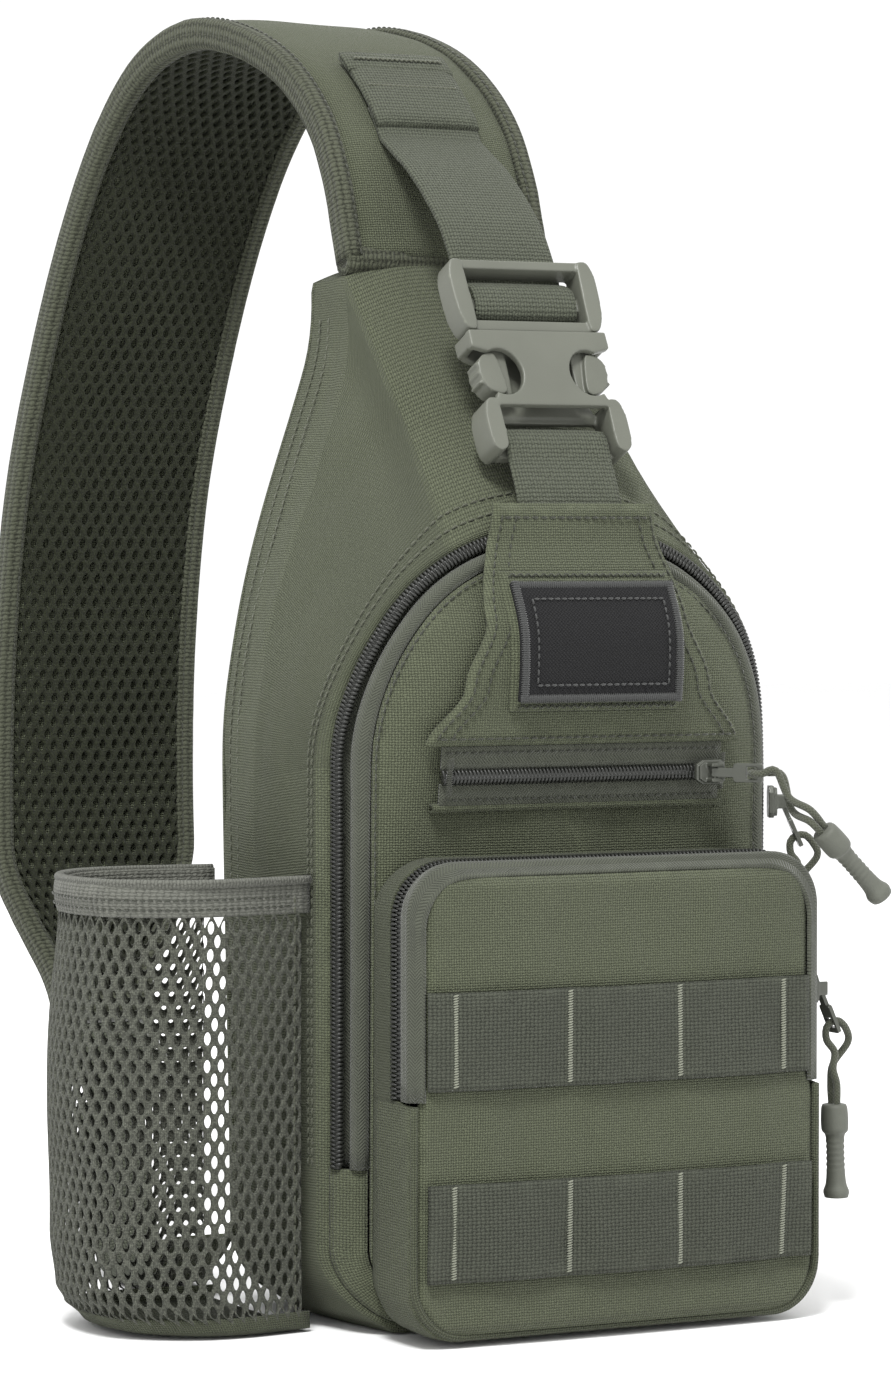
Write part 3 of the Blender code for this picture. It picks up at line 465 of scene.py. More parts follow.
def rumple(thing, height):
    """Move each vertex along its normal by height(its place)."""
    mesh = thing.data
    moves = [(vertex.normal.copy(), height(vertex.co)) for vertex in mesh.vertices]
    for vertex, (normal, amount) in zip(mesh.vertices, moves):
        vertex.co += normal * amount
        vertex.co.z = max(vertex.co.z, 0.0002)
    mesh.update()


def thicken(thing, thickness):
    """Give a sheet its thickness behind its face."""
    modifier = thing.modifiers.new("thickness", "SOLIDIFY")
    modifier.thickness = thickness
    modifier.offset = -1.0
    return thing


def cap_ends(thing):
    """Close a tube's open ends and turn its faces outward."""
    builder = bmesh.new()
    builder.from_mesh(thing.data)
    bmesh.ops.holes_fill(builder, edges=builder.edges, sides=0)
    bmesh.ops.recalc_face_normals(builder, faces=builder.faces)
    builder.to_mesh(thing.data)
    builder.free()
    return thing


def tube(name, points, radius, outward_seed=Vector((0.0, 0.0, 1.0)), sides=10, flat=1.0):
    """A closed round tube along points, with a UV map in metres."""
    rows = []
    over = outward_seed
    for k, point in enumerate(points):
        along = (points[min(k + 1, len(points) - 1)] - points[max(k - 1, 0)]).normalized()
        side = along.cross(over)
        if side.length < 0.05:
            side = along.orthogonal()
        side.normalize()
        over = side.cross(along)
        ring = []
        for s in range(sides):
            angle = math.tau * s / sides
            ring.append(point + side * radius * math.cos(angle) + over * radius * flat * math.sin(angle))
        rows.append(ring)
    rows.insert(0, [points[0].lerp(p, 0.5) for p in rows[0]])
    rows.append([points[-1].lerp(p, 0.5) for p in rows[-1]])
    return cap_ends(grid(name, rows, ANY_WAY, closed=True))


class Beads:
    """Many small capsules, such as stitches or zip teeth, gathered into one mesh."""

    def __init__(self):
        self.points = []
        self.faces = []

    def add(self, start, end, up, radius, arch=0.0, sides=6, rings=4):
        along = (end - start).normalized()
        side = along.cross(up)
        side = side.normalized() if side.length > 1e-6 else along.orthogonal().normalized()
        over = side.cross(along)
        base = len(self.points)
        for k in range(rings + 1):
            t = k / rings
            centre = start.lerp(end, t) + over * (arch * 4.0 * t * (1.0 - t))
            size = radius * math.sqrt(max(0.12, 1.0 - (2.0 * t - 1.0) ** 4))
            for s in range(sides):
                angle = math.tau * s / sides
                self.points.append(centre + side * size * math.cos(angle) + over * size * math.sin(angle))
        for k in range(rings):
            for s in range(sides):
                n = (s + 1) % sides
                low, high = base + k * sides, base + (k + 1) * sides
                self.faces.append((low + s, low + n, high + n, high + s))
        self.faces.append(tuple(base + s for s in reversed(range(sides))))
        self.faces.append(tuple(base + rings * sides + s for s in range(sides)))

    def sew(self, points, up, pitch=0.0031, length=0.0024, radius=0.00034, closed=False):
        """A row of stitches along a line; up is a vector or a function of a point."""
        line = respaced(points, pitch, closed)
        for a, b in zip(line, line[1:]):
            normal = up(a) if callable(up) else up
            self.add(a, a + (b - a) * (length / pitch), normal, radius, 0.00018)

    def zigzag(self, points, across, up, pitch=0.0030, wide=0.0035, radius=0.0003):
        line = respaced(points, pitch / 2)
        for k, (a, b) in enumerate(zip(line, line[1:])):
            sign = 0.5 if k % 2 else -0.5
            normal = up(a) if callable(up) else up
            self.add(a + across * wide * sign, b - across * wide * sign, normal, radius, 0.0002)

    def bar_tack(self, low, high, across, up, wide=0.0020, pitch=0.0007, radius=0.0003):
        for k, point in enumerate(respaced([low, high], pitch)):
            tilt = (high - low).normalized() * (pitch * 0.6)
            self.add(point - across * wide / 2, point + across * wide / 2 + tilt, up, radius, 0.00025)

    def build(self, name, body, look, slot, *nodes):
        mesh = bpy.data.meshes.new(name)
        mesh.from_pydata(self.points, [], self.faces)
        mesh.shade_smooth()
        return place(link(name, mesh), body, look, slot, *nodes)


def coil_teeth(name, points, up, radius, body, pitch=0.00135, nodes=(), slot="coil"):
    """Two rows of interlocking coil turns either side of a zip's middle line, on a woven core."""
    beads = Beads()
    line = respaced(points, pitch)
    for k, (a, b) in enumerate(zip(line, line[1:])):
        normal = (up(a) if callable(up) else up).normalized()
        along = (b - a).normalized()
        side = along.cross(normal).normalized()
        for sign in (-1.0, 1.0):
            middle = a + along * (pitch * 0.5 if sign > 0 else 0.0)
            outer = middle + side * sign * radius - along * pitch * 0.25 - normal * radius * 0.45
            beads.add(middle - side * sign * radius * 0.12 + normal * radius * 0.30, outer, normal,
                      pitch * 0.40, radius * 0.30, 6, 3)
    return beads.build(name, body, "coil", slot, *nodes)


def moulded(name, plates, matrix, voxel=0.00045, smooth=5):
    """One smooth moulded solid from overlapping plates given as (outline, low, high)."""
    builder = bmesh.new()
    for outline, low, high in plates:
        lower = [builder.verts.new((x, y, low)) for x, y in outline]
        upper = [builder.verts.new((x, y, high)) for x, y in outline]
        count = len(outline)
        builder.faces.new(lower)
        builder.faces.new(upper)
        for k in range(count):
            n = (k + 1) % count
            builder.faces.new((lower[k], lower[n], upper[n], upper[k]))
    bmesh.ops.recalc_face_normals(builder, faces=builder.faces)
    bmesh.ops.triangulate(builder, faces=[f for f in builder.faces if len(f.verts) > 4])
    raw = bpy.data.meshes.new(name)
    builder.to_mesh(raw)
    builder.free()
    thing = link(name, raw)
    remesh = thing.modifiers.new("skin", "REMESH")
    remesh.mode = "VOXEL"
    remesh.voxel_size = voxel
    soften = thing.modifiers.new("soften", "SMOOTH")
    soften.factor = 0.5
    soften.iterations = smooth
    graph = bpy.context.evaluated_depsgraph_get()
    graph.update()
    mesh = bpy.data.meshes.new_from_object(thing.evaluated_get(graph))
    thing.modifiers.clear()
    thing.data = mesh
    thing.data.transform(matrix)
    thing.data.shade_smooth()
    return thing


def softened(outline, rounds=2):
    """An outline with its corners cut round."""
    for _round in range(rounds):
        outline = [(ax + (bx - ax) * t, ay + (by - ay) * t)
                   for (ax, ay), (bx, by) in zip(outline, outline[1:] + outline[:1]) for t in (0.2, 0.8)]
    return outline


def rounded_box(x0, x1, y0, y1, radius=0.001, steps=4):
    """Outline of a rectangle with round corners."""
    outline = []
    corners = ((x1 - radius, y1 - radius, 0.0), (x0 + radius, y1 - radius, 0.25),
               (x0 + radius, y0 + radius, 0.5), (x1 - radius, y0 + radius, 0.75))
    for cx, cy, turn in corners:
        for k in range(steps + 1):
            angle = math.tau * (turn + 0.25 * k / steps)
            outline.append((cx + radius * math.cos(angle), cy + radius * math.sin(angle)))
    return outline


def open_mesh(name, surface, wide, tall, pitch, hole, depth):
    """Knitted mesh with real oval holes. surface(u, v, sunk) gives the point at u and v metres along it,
    sunk metres behind its face; pitch is the diamond cell and hole the oval's half sizes."""
    columns = round(wide / pitch[0])
    count = round(tall / (pitch[1] / 2))
    cell_wide, cell_tall = wide / columns, 2.0 * tall / count
    points, faces, coordinates, known = [], [], [], {}

    def vertex(u, v, sunk):
        key = (round(u * 2e5), round(v * 2e5), round(sunk * 1e6))
        if key not in known:
            known[key] = len(points)
            points.append(surface(u, v, sunk))
        return known[key]

    def quad(corners):
        faces.append([vertex(*corner) for corner in corners])
        coordinates.extend((u, v) for u, v, _sunk in corners)

    for r in range(1, count):
        middle_v = r * cell_tall / 2
        for c in range(columns + r % 2):
            middle_u = (c + (0.0 if r % 2 else 0.5)) * cell_wide
            if middle_u < cell_wide * 0.4 or middle_u > wide - cell_wide * 0.4:
                continue
            tips = [(cell_wide / 2, 0.0), (0.0, cell_tall / 2), (-cell_wide / 2, 0.0), (0.0, -cell_tall / 2)]
            border = []
            for (ax, ay), (bx, by) in zip(tips, tips[1:] + tips[:1]):
                border += [(ax + (bx - ax) * k / 3, ay + (by - ay) * k / 3) for k in range(3)]
            oval = []
            for x, y in border:
                angle = math.atan2(y / cell_tall, x / cell_wide)
                oval.append((hole[0] * math.cos(angle), hole[1] * math.sin(angle)))
            for k in range(len(border)):
                n = (k + 1) % len(border)
                edge, rim = (border[k], border[n]), (oval[k], oval[n])
                lip = [(0.3 * x + 0.7 * rx, 0.3 * y + 0.7 * ry) for (x, y), (rx, ry) in zip(edge, rim)]
                back = [(x * 1.06, y * 1.06) for x, y in rim]
                bands = [(edge, 0.0), (lip, -depth * 0.10), (rim, depth * 0.45), (back, depth)]
                for (near, low), (far, high) in zip(bands, bands[1:]):
                    quad([(middle_u + x, middle_v + y, sunk) for (x, y), sunk in
                          ((near[0], low), (near[1], low), (far[1], high), (far[0], high))])
    mesh = bpy.data.meshes.new(name)
    mesh.from_pydata(points, [], faces)
    layer = mesh.uv_layers.new(name="UVMap")
    layer.data.foreach_set("uv", [value for pair in coordinates for value in pair])
    mesh.shade_smooth()
    return link(name, mesh)


# ---- outlines -----------------------------------------------------------------------
DETAIL = 4                    # outline points for each of the frame's
PAD_PRESSURE = 5.0            # swells the back pad by about a third of a millimetre between its seams


def front_y(x, z):
    crest = through(z, [(0.00, -0.0400), (0.15, -0.0415), (0.215, -0.0500), (0.252, -0.0370)])
    power = 9.0 - 6.7 * ease(z, 0.15, 0.235)
    return crest + (ZIP_EDGE_Y - crest) * min(1.0, abs(x) / ARCH_HALF) ** power


def half_outline(half, corner, side_top, bottom, shoulder):
    corner = max(corner, 0.0)
    points = [((half - corner) * k / (4 * DETAIL), bottom) for k in range(4 * DETAIL)]
    for k in range(5 * DETAIL + 1):
        angle = math.pi / 2 * k / (5 * DETAIL)
        points.append((half - corner + corner * math.sin(angle), bottom + corner - corner * math.cos(angle)))
    start = bottom + corner
    points += [(half, start + (side_top - start) * k / (6 * DETAIL)) for k in range(1, 6 * DETAIL)]
    points += [shoulder(k / (12 * DETAIL)) for k in range(12 * DETAIL + 1)]
    return points


def full_outline(half_points):
    return half_points + [(-x, z) for x, z in half_points[-2:0:-1]]


def arch_ring(inset):
    half = ARCH_HALF - inset
    top = ARCH_TOP - inset
    side_top = min(ARCH_SIDE_TOP, top - 0.01)

    def shoulder(t):
        angle = math.pi / 2 * t
        return half * max(0.0, math.cos(angle)) ** 0.85, side_top + (top - side_top) * math.sin(angle)

    outline = half_outline(half, min(half, ARCH_CORNER - inset), side_top, inset, shoulder)
    return [Vector((x, front_y(x, z), z)) for x, z in full_outline(outline)]


def rear_ring(inset, depth_at, rise=0.0):
    half = BODY_HALF - inset
    top = BODY_TOP - rise
    shoulder_z = top - 0.008
    top_half = max(0.0, TOP_HALF - 0.5 * inset)

    def shoulder(t):
        if t < 0.7:
            u = t / 0.7
            spread = 0.5 + 0.5 * math.cos(math.pi * u ** 1.2)
            return top_half + (half - top_half) * spread, BODY_SIDE_TOP + (shoulder_z - BODY_SIDE_TOP) * u
        u = (t - 0.7) / 0.3
        return top_half * max(0.0, 1.0 - u) ** 0.8, shoulder_z + 0.008 * math.sin(math.pi / 2 * u)

    outline = half_outline(half, max(0.006, ARCH_CORNER - rise), BODY_SIDE_TOP, rise, shoulder)
    return [Vector((x, depth_at(z), z)) for x, z in full_outline(outline)]


def middle_depth(z):
    return through(z, [(0.17, 0.012), (0.229, 0.015), (0.295, 0.030), (0.338, 0.044)])


def back_depth(z):
    return through(z, [(0.00, 0.040), (0.20, 0.046), (0.30, 0.066), (0.34, 0.070)])


def blend_rings(first, second, t, bulge=0.0):
    across = t + bulge * math.sin(math.pi * t) * 0.5
    ring = []
    for a, b in zip(first, second):
        point = a.lerp(b, t)
        point.x = a.x + (b.x - a.x) * across
        ring.append(point)
    return ring


def joined_middle(thing):
    """Join the doubled points along an outline's middle line."""
    builder = bmesh.new()
    builder.from_mesh(thing.data)
    bmesh.ops.remove_doubles(builder, verts=builder.verts, dist=0.00002)
    bmesh.ops.dissolve_degenerate(builder, edges=builder.edges, dist=0.00001)
    builder.to_mesh(thing.data)
    builder.free()
    return thing


def from_axis(point):
    return Vector((point.x, point.y - 0.01, point.z - 0.14))


FRONT = Vector((0.0, -1.0, 0.0))
BACK = Vector((0.0, 1.0, 0.0))


def ring_span(ring, first, last):
    count = len(ring)
    return [ring[(first + k) % count] for k in range((last - first) % count + 1)]


def filled_rings(rings, shift):
    """Rows that close an outline down to a short upright line, moved along Y."""
    rows = [[point + Vector((0.0, shift, 0.0)) for point in ring] for ring in rings]
    heights = [point.z for point in rows[-1]]
    middle = 0.5 * (min(heights) + max(heights))
    line = [Vector((0.0, point.y, middle + 0.85 * (point.z - middle))) for point in rows[-1]]
    for share in (0.25, 0.5, 0.75, 1.0):
        rows.append([a.lerp(b, share) for a, b in zip(rows[len(rings) - 1], line)])
    return rows


def zip_normal(point):
    step = 0.0005
    slope = (front_y(abs(point.x), point.z) - front_y(abs(point.x) - step, point.z)) / step
    return Vector((math.copysign(slope, point.x), -1.0, 0.35 * ease(point.z, 0.2, 0.25))).normalized()


def zip_arc(inset, lift=0.0):
    """The part of the arch that the main zip runs along, lifted off the front face."""
    ring = arch_ring(inset)
    span = ring_span(ring, 10 * DETAIL, len(ring) - 10 * DETAIL)
    return [point + zip_normal(point) * lift for point in span]


# ---- main section --------------------------------------------------------------------
def build_body():
    front = arch_ring(0.0)
    middle = rear_ring(0.0, middle_depth)
    back = rear_ring(BACK_INSET, back_depth)
    rows = [blend_rings(front, middle, k / 14, 0.5) for k in range(15)]
    rows += [blend_rings(middle, back, k / 12, -0.3) for k in range(1, 13)]
    for row in rows:
        for point in row:
            if point.z < 0.0015:
                point.z = 0.0002
    turned_in = [[point + BACK * sunk for point in arch_ring(inset)]
                 for inset, sunk in ((0.0034, 0.0022), (0.0024, 0.0007), (0.0011, 0.0001))]
    turned_back = [rear_ring(BACK_INSET + inset, lambda z: back_depth(z) + rise, inset + 0.0014)
                   for inset, rise in ((0.0008, 0.0010), (0.0030, 0.0022), (0.0060, 0.0023))]
    side = grid("body_gusset.cloth", turned_in + rows + turned_back, from_axis, closed=True)

    def folds(point):
        open_side = ease(point.y, ZIP_EDGE_Y, 0.0) * (1.0 - ease(point.y, 0.035, 0.060))
        soft = 0.0021 * rough(point, 15.0, 1.0) + 0.0009 * rough(point, 40.0, 2.0)
        creases = 0.0011 * rough((point.x * 0.4, point.y * 2.2, point.z * 0.8), 55.0, 5.0)
        return (soft + creases) * open_side

    rumple(side, folds)
    place(thicken(side, CLOTH), "root", "oxford", "oxford", "body_gusset")

    sewn = Beads()
    for share in (0.045, 0.10):
        ring = blend_rings(front, middle, share, 0.5)
        seam = ring_span(ring, 10 * DETAIL, len(ring) - 10 * DETAIL)
        sewn.sew([p + from_axis(p).normalized() * 0.0004 for p in seam], from_axis)
    for row in (rows[20], rows[23]):
        line = [p + Vector((p.x, 0.0, 0.3 * (p.z - 0.14))).normalized() * 0.0004
                for p in row if 0.02 < p.z < 0.322]
        for side_line in ([p for p in line if p.x > 0.0], [p for p in line if p.x < 0.0]):
            sewn.sew(side_line, from_axis)
    sewn.build("body_seams", "root", "thread", "oxford")

    rings = [arch_ring(0.0110 + 0.059 * (k / 18)) for k in range(19)]
    lid = joined_middle(grid("lid_panel.cloth", filled_rings(rings, 0.0), FRONT, closed=True, planar=True))

    def lid_folds(point):
        inside = ease(min(ARCH_HALF - 0.011 - abs(point.x), point.z - 0.011, 0.241 - point.z), 0.0, 0.014)
        pulls = 0.0011 * rough((point.x * 1.8, 0.0, point.z * 0.7), 42.0, 8.0)
        return inside * (0.0013 * rough(point, 24.0, 3.0) + pulls + 0.0002)

    rumple(lid, lid_folds)
    place(thicken(lid, 0.0022), "root", "oxford", "oxford", "lid_panel")

    hinge_rows = []
    for k in range(7):
        ring = arch_ring(0.0022 + 0.0084 * k / 6)
        row = ring_span(ring, len(ring) - 10 * DETAIL, 10 * DETAIL)
        hinge_rows.append([point + FRONT * 0.0008 * math.sin(math.pi * k / 6) for point in row])
    strip = grid("lid_hinge_strip.cloth", hinge_rows, FRONT)
    place(thicken(strip, CLOTH), "root", "oxford", "oxford", "lid_hinge_strip")


def build_main_zip():
    tape = grid("main_zip_tape.cloth", [zip_arc(0.0026 + 0.0072 * k / 6, -0.0040) for k in range(7)], FRONT)
    place(thicken(tape, 0.0010), "root", "tape", "tape", "main_zip_tape")
    core = [point for point in zip_arc(COIL_INSET, -0.0004)]
    place(tube("main_zip_core", core, 0.0016, FRONT), "root", "coil", "coil")
    coil_teeth("main_zip_teeth", zip_arc(COIL_INSET, 0.0006), zip_normal, 0.0023, "root",
               nodes=["main_zip_coil"])
    rolled = []
    for k in range(13):
        t = k / 12
        rolled.append(zip_arc(0.0062 + 0.0046 * t,
                              0.0022 * math.sin(math.pi * min(1.0, t * 1.05)) ** 0.6 - 0.0003))
    band = grid("main_zip_piping.cloth", rolled, FRONT)
    place(thicken(band, 0.0014), "root", "tape", "tape", "main_zip_piping")
    sewn = Beads()
    sewn.sew(zip_arc(0.0122, 0.0006), zip_normal, 0.0030, 0.0023, 0.0003)
    sewn.build("main_zip_stitches", "root", "dark_thread", "tape")


def build_inside():
    """Board, foam and lining, which show only through the zip's openings."""
    for node, look in (("back_foam", "foam"), ("base_stiffener", "board"), ("slip_pocket_lining", "lining")):
        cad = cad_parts[node]
        cad.data.materials.clear()
        cad.data.materials.append(LOOK[look])


# ---- back ------------------------------------------------------------------------------
def simulate_pad(thing, sewn, voxel=0.0032, frames=30):
    """Swell a closed pad as cloth, held where sewn(point) is 1, and keep the settled shape."""
    remesh = thing.modifiers.new("skin", "REMESH")
    remesh.mode = "VOXEL"
    remesh.voxel_size = voxel
    graph = bpy.context.evaluated_depsgraph_get()
    graph.update()
    thing.data = bpy.data.meshes.new_from_object(thing.evaluated_get(graph))
    thing.modifiers.clear()
    held = thing.vertex_groups.new(name="held")
    for vertex in thing.data.vertices:
        held.add([vertex.index], sewn(vertex.co), "REPLACE")
    settings = thing.modifiers.new("cloth", "CLOTH").settings
    settings.vertex_group_mass = "held"
    settings.use_pressure = True
    settings.uniform_pressure_force = PAD_PRESSURE
    settings.tension_stiffness = settings.compression_stiffness = 40.0
    settings.bending_stiffness = 2.0
    settings.air_damping = 5.0
    settings.effector_weights.gravity = 0.0
    settings.quality = 8
    for number in range(1, frames + 1):
        bpy.context.scene.frame_set(number)
    graph = bpy.context.evaluated_depsgraph_get()
    swollen = bpy.data.meshes.new_from_object(thing.evaluated_get(graph))
    thing.modifiers.clear()
    thing.data = swollen
    bpy.context.scene.frame_set(1)


def build_back():
    ring = [rear_ring(BACK_INSET + 0.058 * (k / 16), back_depth, 0.058 * (k / 16)) for k in range(17)]
    panel = joined_middle(grid("back_panel.cloth", filled_rings(ring, 0.0020), BACK, closed=True, planar=True))
    # The back panel is oxford cloth with painted shade.
    place(thicken(panel, CLOTH), "root", "oxford_dark", "oxford", "back_panel")

    def back_pad(name, margin_low, margin_high, level_at):
        rings = [rear_ring(BACK_INSET + margin, back_depth, margin)
                 for margin in [margin_low + (margin_high - margin_low) * k / 10 for k in range(11)]]
        pad = joined_middle(grid(name, filled_rings(rings, 0.0), BACK, closed=True, planar=True))
        for vertex in pad.data.vertices:
            vertex.co.y += level_at(vertex.co)
        pad.data.update()
        return pad

    pad_edge = rear_ring(BACK_INSET + 0.0115, back_depth, 0.0115)
    pad = back_pad("back_mesh_pad.cloth", 0.0115, 0.058, lambda co: 0.0108)
    thicken(pad, 0.0062)
    outline = kdtree.KDTree(len(pad_edge))
    for index, point in enumerate(pad_edge):
        outline.insert((point.x, 0.0, point.z), index)
    outline.balance()

    def from_channel(point):
        """Distance to the sewn channels: two slanting lines and one across the lower back."""
        return min(abs(abs(point.x) - 0.024 - 0.05 * (point.z - 0.14)), abs(point.z - 0.085))

    def sewn(point):
        hidden = 1.0 - ease(point.y - back_depth(point.z), 0.0070, 0.0088)
        rim = 1.0 - ease(outline.find((point.x, 0.0, point.z))[2], 0.003, 0.006)
        return max(hidden, rim, 1.0 - ease(from_channel(point), 0.001, 0.004))

    simulate_pad(pad, sewn)

    def channels(point):
        return -0.0030 * (1.0 - ease(from_channel(point), 0.0, 0.007))

    middle_y = 0.0045
    for vertex in pad.data.vertices:
        if vertex.co.y > back_depth(vertex.co.z) + middle_y:
            vertex.co.y += channels(vertex.co)
    smooth = pad.modifiers.new("soft", "SUBSURF")
    smooth.levels = smooth.render_levels = 1
    place(pad, "root", "air_mesh", "air_mesh", "back_mesh_pad")
    edge = rear_ring(BACK_INSET + 0.0095, back_depth, 0.0095)
    welt = [point + BACK * 0.0038 for point in edge]
    rim = tube("back_pad_binding", welt + [welt[0]], 0.0019, BACK)
    place(rim, "root", "binding", "binding")


# ---- front pieces -----------------------------------------------------------------------
def on_face(x, z, lift, cap=ARCH_TOP):
    return Vector((x, front_y(x, min(z, cap)) - lift, z))


def face_grid(name, low, high, half_at, lift, cap=ARCH_TOP, rows=24, columns=48, roll=0.0012, bumpy=0.0):
    """A sewn-on panel of the front face, its edges rolled under."""
    def point(x, z):
        edge = min(half_at(z) - abs(x), z - low, high - z)
        raised = lift - roll * (1.0 - ease(edge, 0.0, 0.0025))
        raised += bumpy * rough((x, 0.0, z), 40.0, 4.0) * ease(edge, 0.0, 0.006)
        return on_face(x, z, raised, cap)

    grid_rows = []
    for r in range(rows + 1):
        z = low + (high - low) * 0.5 * (1 - math.cos(math.pi * r / rows))
        half = half_at(z)
        grid_rows.append([point(half * math.sin(math.pi / 2 * (2 * c / columns - 1)), z)
                          for c in range(columns + 1)])
    return grid(name, grid_rows, FRONT, planar=True)


def yoke_half(z):
    return through(z, [(0.182, 0.0560), (0.200, 0.0440), (0.222, 0.0360), (0.257, 0.0285)])


def build_front_pieces():
    yoke = face_grid("yoke_panel.cloth", YOKE_BOTTOM, YOKE_TOP, yoke_half, YOKE_LIFT, YOKE_CAP, 40, 60,
                     bumpy=0.0010)
    place(thicken(yoke, CLOTH), "root", "oxford", "oxford", "yoke_panel")
    sewn = Beads()
    for inset in (0.0022, 0.0068):
        for side in (-1.0, 1.0):
            heights = [YOKE_BOTTOM + 0.002 + (YOKE_TOP - YOKE_BOTTOM - 0.005) * k / 40 for k in range(41)]
            sewn.sew([on_face(side * (yoke_half(z) - inset), z, YOKE_LIFT + 0.0003, YOKE_CAP) for z in heights],
                     FRONT)
    for z in (YOKE_BOTTOM + 0.0022, YOKE_TOP - 0.0045):
        wide = yoke_half(z) - 0.003
        sewn.sew([on_face(wide * (k / 20 - 1), z, YOKE_LIFT + 0.0003, YOKE_CAP) for k in range(41)], FRONT)
    sewn.build("yoke_stitches", "root", "dark_thread", "oxford")
    build_patch()
    build_slit_zip()


def build_patch():
    """Plain removable patch on its loop field."""
    base = face_grid("patch_loop_base.cloth", 0.1925, 0.2360, lambda z: 0.0300, 0.0080, rows=16, columns=40)
    place(thicken(base, 0.0014), "root", "oxford", "patch_loop", "patch_loop_base")
    low, high, half, lift = 0.1955, 0.2325, 0.0285, 0.0105
    field = face_grid("patch.cloth", low, high, lambda z: half, lift, rows=16, columns=40, roll=0.0006)
    place(thicken(field, 0.0020), "root", "patch", "patch_field", "patch")
    border = Beads()
    corners = [(-half, low), (half, low), (half, high), (-half, high), (-half, low)]
    for (ax, az), (bx, bz) in zip(corners, corners[1:]):
        count = round(math.hypot(bx - ax, bz - az) / 0.0007)
        inward = Vector((-(bz - az), 0.0, bx - ax)).normalized()
        for k in range(count):
            middle = on_face(ax + (bx - ax) * k / count, az + (bz - az) * k / count, lift + 0.0002)
            border.add(middle - inward * 0.0004, middle + inward * 0.0024, FRONT, 0.00042, 0.0004)
    border.build("patch_border", "root", "border_thread", "patch_field")
    inner = Beads()
    for (ax, az), (bx, bz) in zip(corners, corners[1:]):
        inner.sew([on_face(0.82 * (ax + (bx - ax) * k / 20), 0.214 + 0.72 * (az + (bz - az) * k / 20 - 0.214),
                           lift + 0.0003) for k in range(21)], FRONT, 0.0024, 0.0018, 0.00036)
    inner.build("patch_stitches", "root", "border_thread", "patch_field")
    sewn = Beads()
    for z in (0.1940, 0.2346):
        sewn.zigzag([on_face(0.028 * (k / 20 - 1), z, 0.0082) for k in range(41)], Vector((0, 0, 1)), FRONT,
                    0.0026, 0.0012)
    sewn.build("patch_base_stitches", "root", "dark_thread", "patch_loop")


def build_slit_zip():
    for name, low, high in (("slit_zip_tape_lower", 0.1636, SLIT_Z - 0.0022),
                            ("slit_zip_tape_upper", SLIT_Z + 0.0022, YOKE_BOTTOM - 0.0002)):
        tape = face_grid(f"{name}.cloth", low, high, lambda z: SLIT_HALF, SLIT_TAPE_LIFT, rows=8, roll=0.0003)
        place(thicken(tape, 0.0012), "root", "tape", "tape", name)
    line = [on_face(SLIT_HALF * (k / 24 - 1), SLIT_Z, SLIT_COIL_LIFT) for k in range(49)]
    place(tube("slit_zip_core", [p - FRONT * 0.0008 for p in line], 0.0017, FRONT), "root", "coil", "coil")
    coil_teeth("slit_zip_teeth", line, FRONT, 0.0026, "root", 0.0013, nodes=["slit_zip_coil"])
    rim = []
    for k in range(7):
        angle = math.pi * k / 6
        z = 0.1626 + 0.0016 * math.cos(angle)
        rim.append([on_face(x, z, 0.0002 + 0.0030 * math.sin(angle) ** 0.7)
                    for x in [(SLIT_HALF + 0.002) * (c / 24 - 1) for c in range(49)]])
    lip = grid("slit_lower_lip", rim, FRONT)
    place(thicken(lip, 0.0008), "root", "oxford", "oxford")
    sewn = Beads()
    for z, lift in ((0.1652, 0.0034), (0.1798, 0.0034)):
        sewn.sew([on_face(0.049 * (k / 20 - 1), z, lift) for k in range(41)], FRONT, 0.0028, 0.0021, 0.0003)
    for side in (-1.0, 1.0):
        sewn.bar_tack(on_face(side * 0.0487, 0.1668, 0.0062), on_face(side * 0.0487, 0.1778, 0.0062),
                      ACROSS, FRONT, 0.0022)
    sewn.build("slit_stitches", "root", "dark_thread", "tape")


# ---- organizer pocket ----------------------------------------------------------------------
def organizer_half(half, top, bottom):
    corner = ORG_CORNER
    points = [((half - corner) * k / (4 * DETAIL), bottom) for k in range(4 * DETAIL)]
    for k in range(4 * DETAIL + 1):
        angle = math.pi / 2 * k / (4 * DETAIL)
        points.append((half - corner + corner * math.sin(angle), bottom + corner - corner * math.cos(angle)))
    heights = [0.040, 0.055, 0.068, ORG_SPLIT_Z - 0.0006, ORG_SPLIT_Z + 0.0006, 0.082, 0.092, 0.104, 0.116]
    points += [(half, z) for z in heights]
    for k in range(4 * DETAIL + 1):
        angle = math.pi / 2 * k / (4 * DETAIL)
        points.append((half - corner + corner * math.cos(angle), top - corner + corner * math.sin(angle)))
    points += [((half - corner) * (1 - k / (4 * DETAIL)), top) for k in range(1, 4 * DETAIL + 1)]
    return points


FOLD_INDEX = 8 * DETAIL + 1 + 4          # first outline point above the fold


def organizer_ring(half, inset, depth_at):
    outline = full_outline(organizer_half(half - inset, ORG_TOP - inset, ORG_BOTTOM + inset))
    return [Vector((x, depth_at(x, z), z)) for x, z in outline]


def organizer_face(x):
    return ORG_CROWN_Y + (ORG_FRONT_Y - ORG_CROWN_Y) * min(1.0, abs(x) / ORG_HALF) ** 3


def organizer_face_half(z, inset):
    low = ORG_BOTTOM + ORG_CORNER
    high = ORG_TOP - ORG_CORNER
    reach = ORG_CORNER - inset
    off = max(low - z, z - high, 0.0)
    return ORG_HALF - ORG_CORNER + math.sqrt(max(reach * reach - off * off, 0.0))


def organizer_arc(inset, depth):
    ring = organizer_ring(ORG_HALF, inset, lambda x, z: depth)
    return ring_span(ring, FOLD_INDEX, len(ring) - FOLD_INDEX)


def from_organizer(point):
    return Vector((point.x, 0.0, point.z - 0.0745))


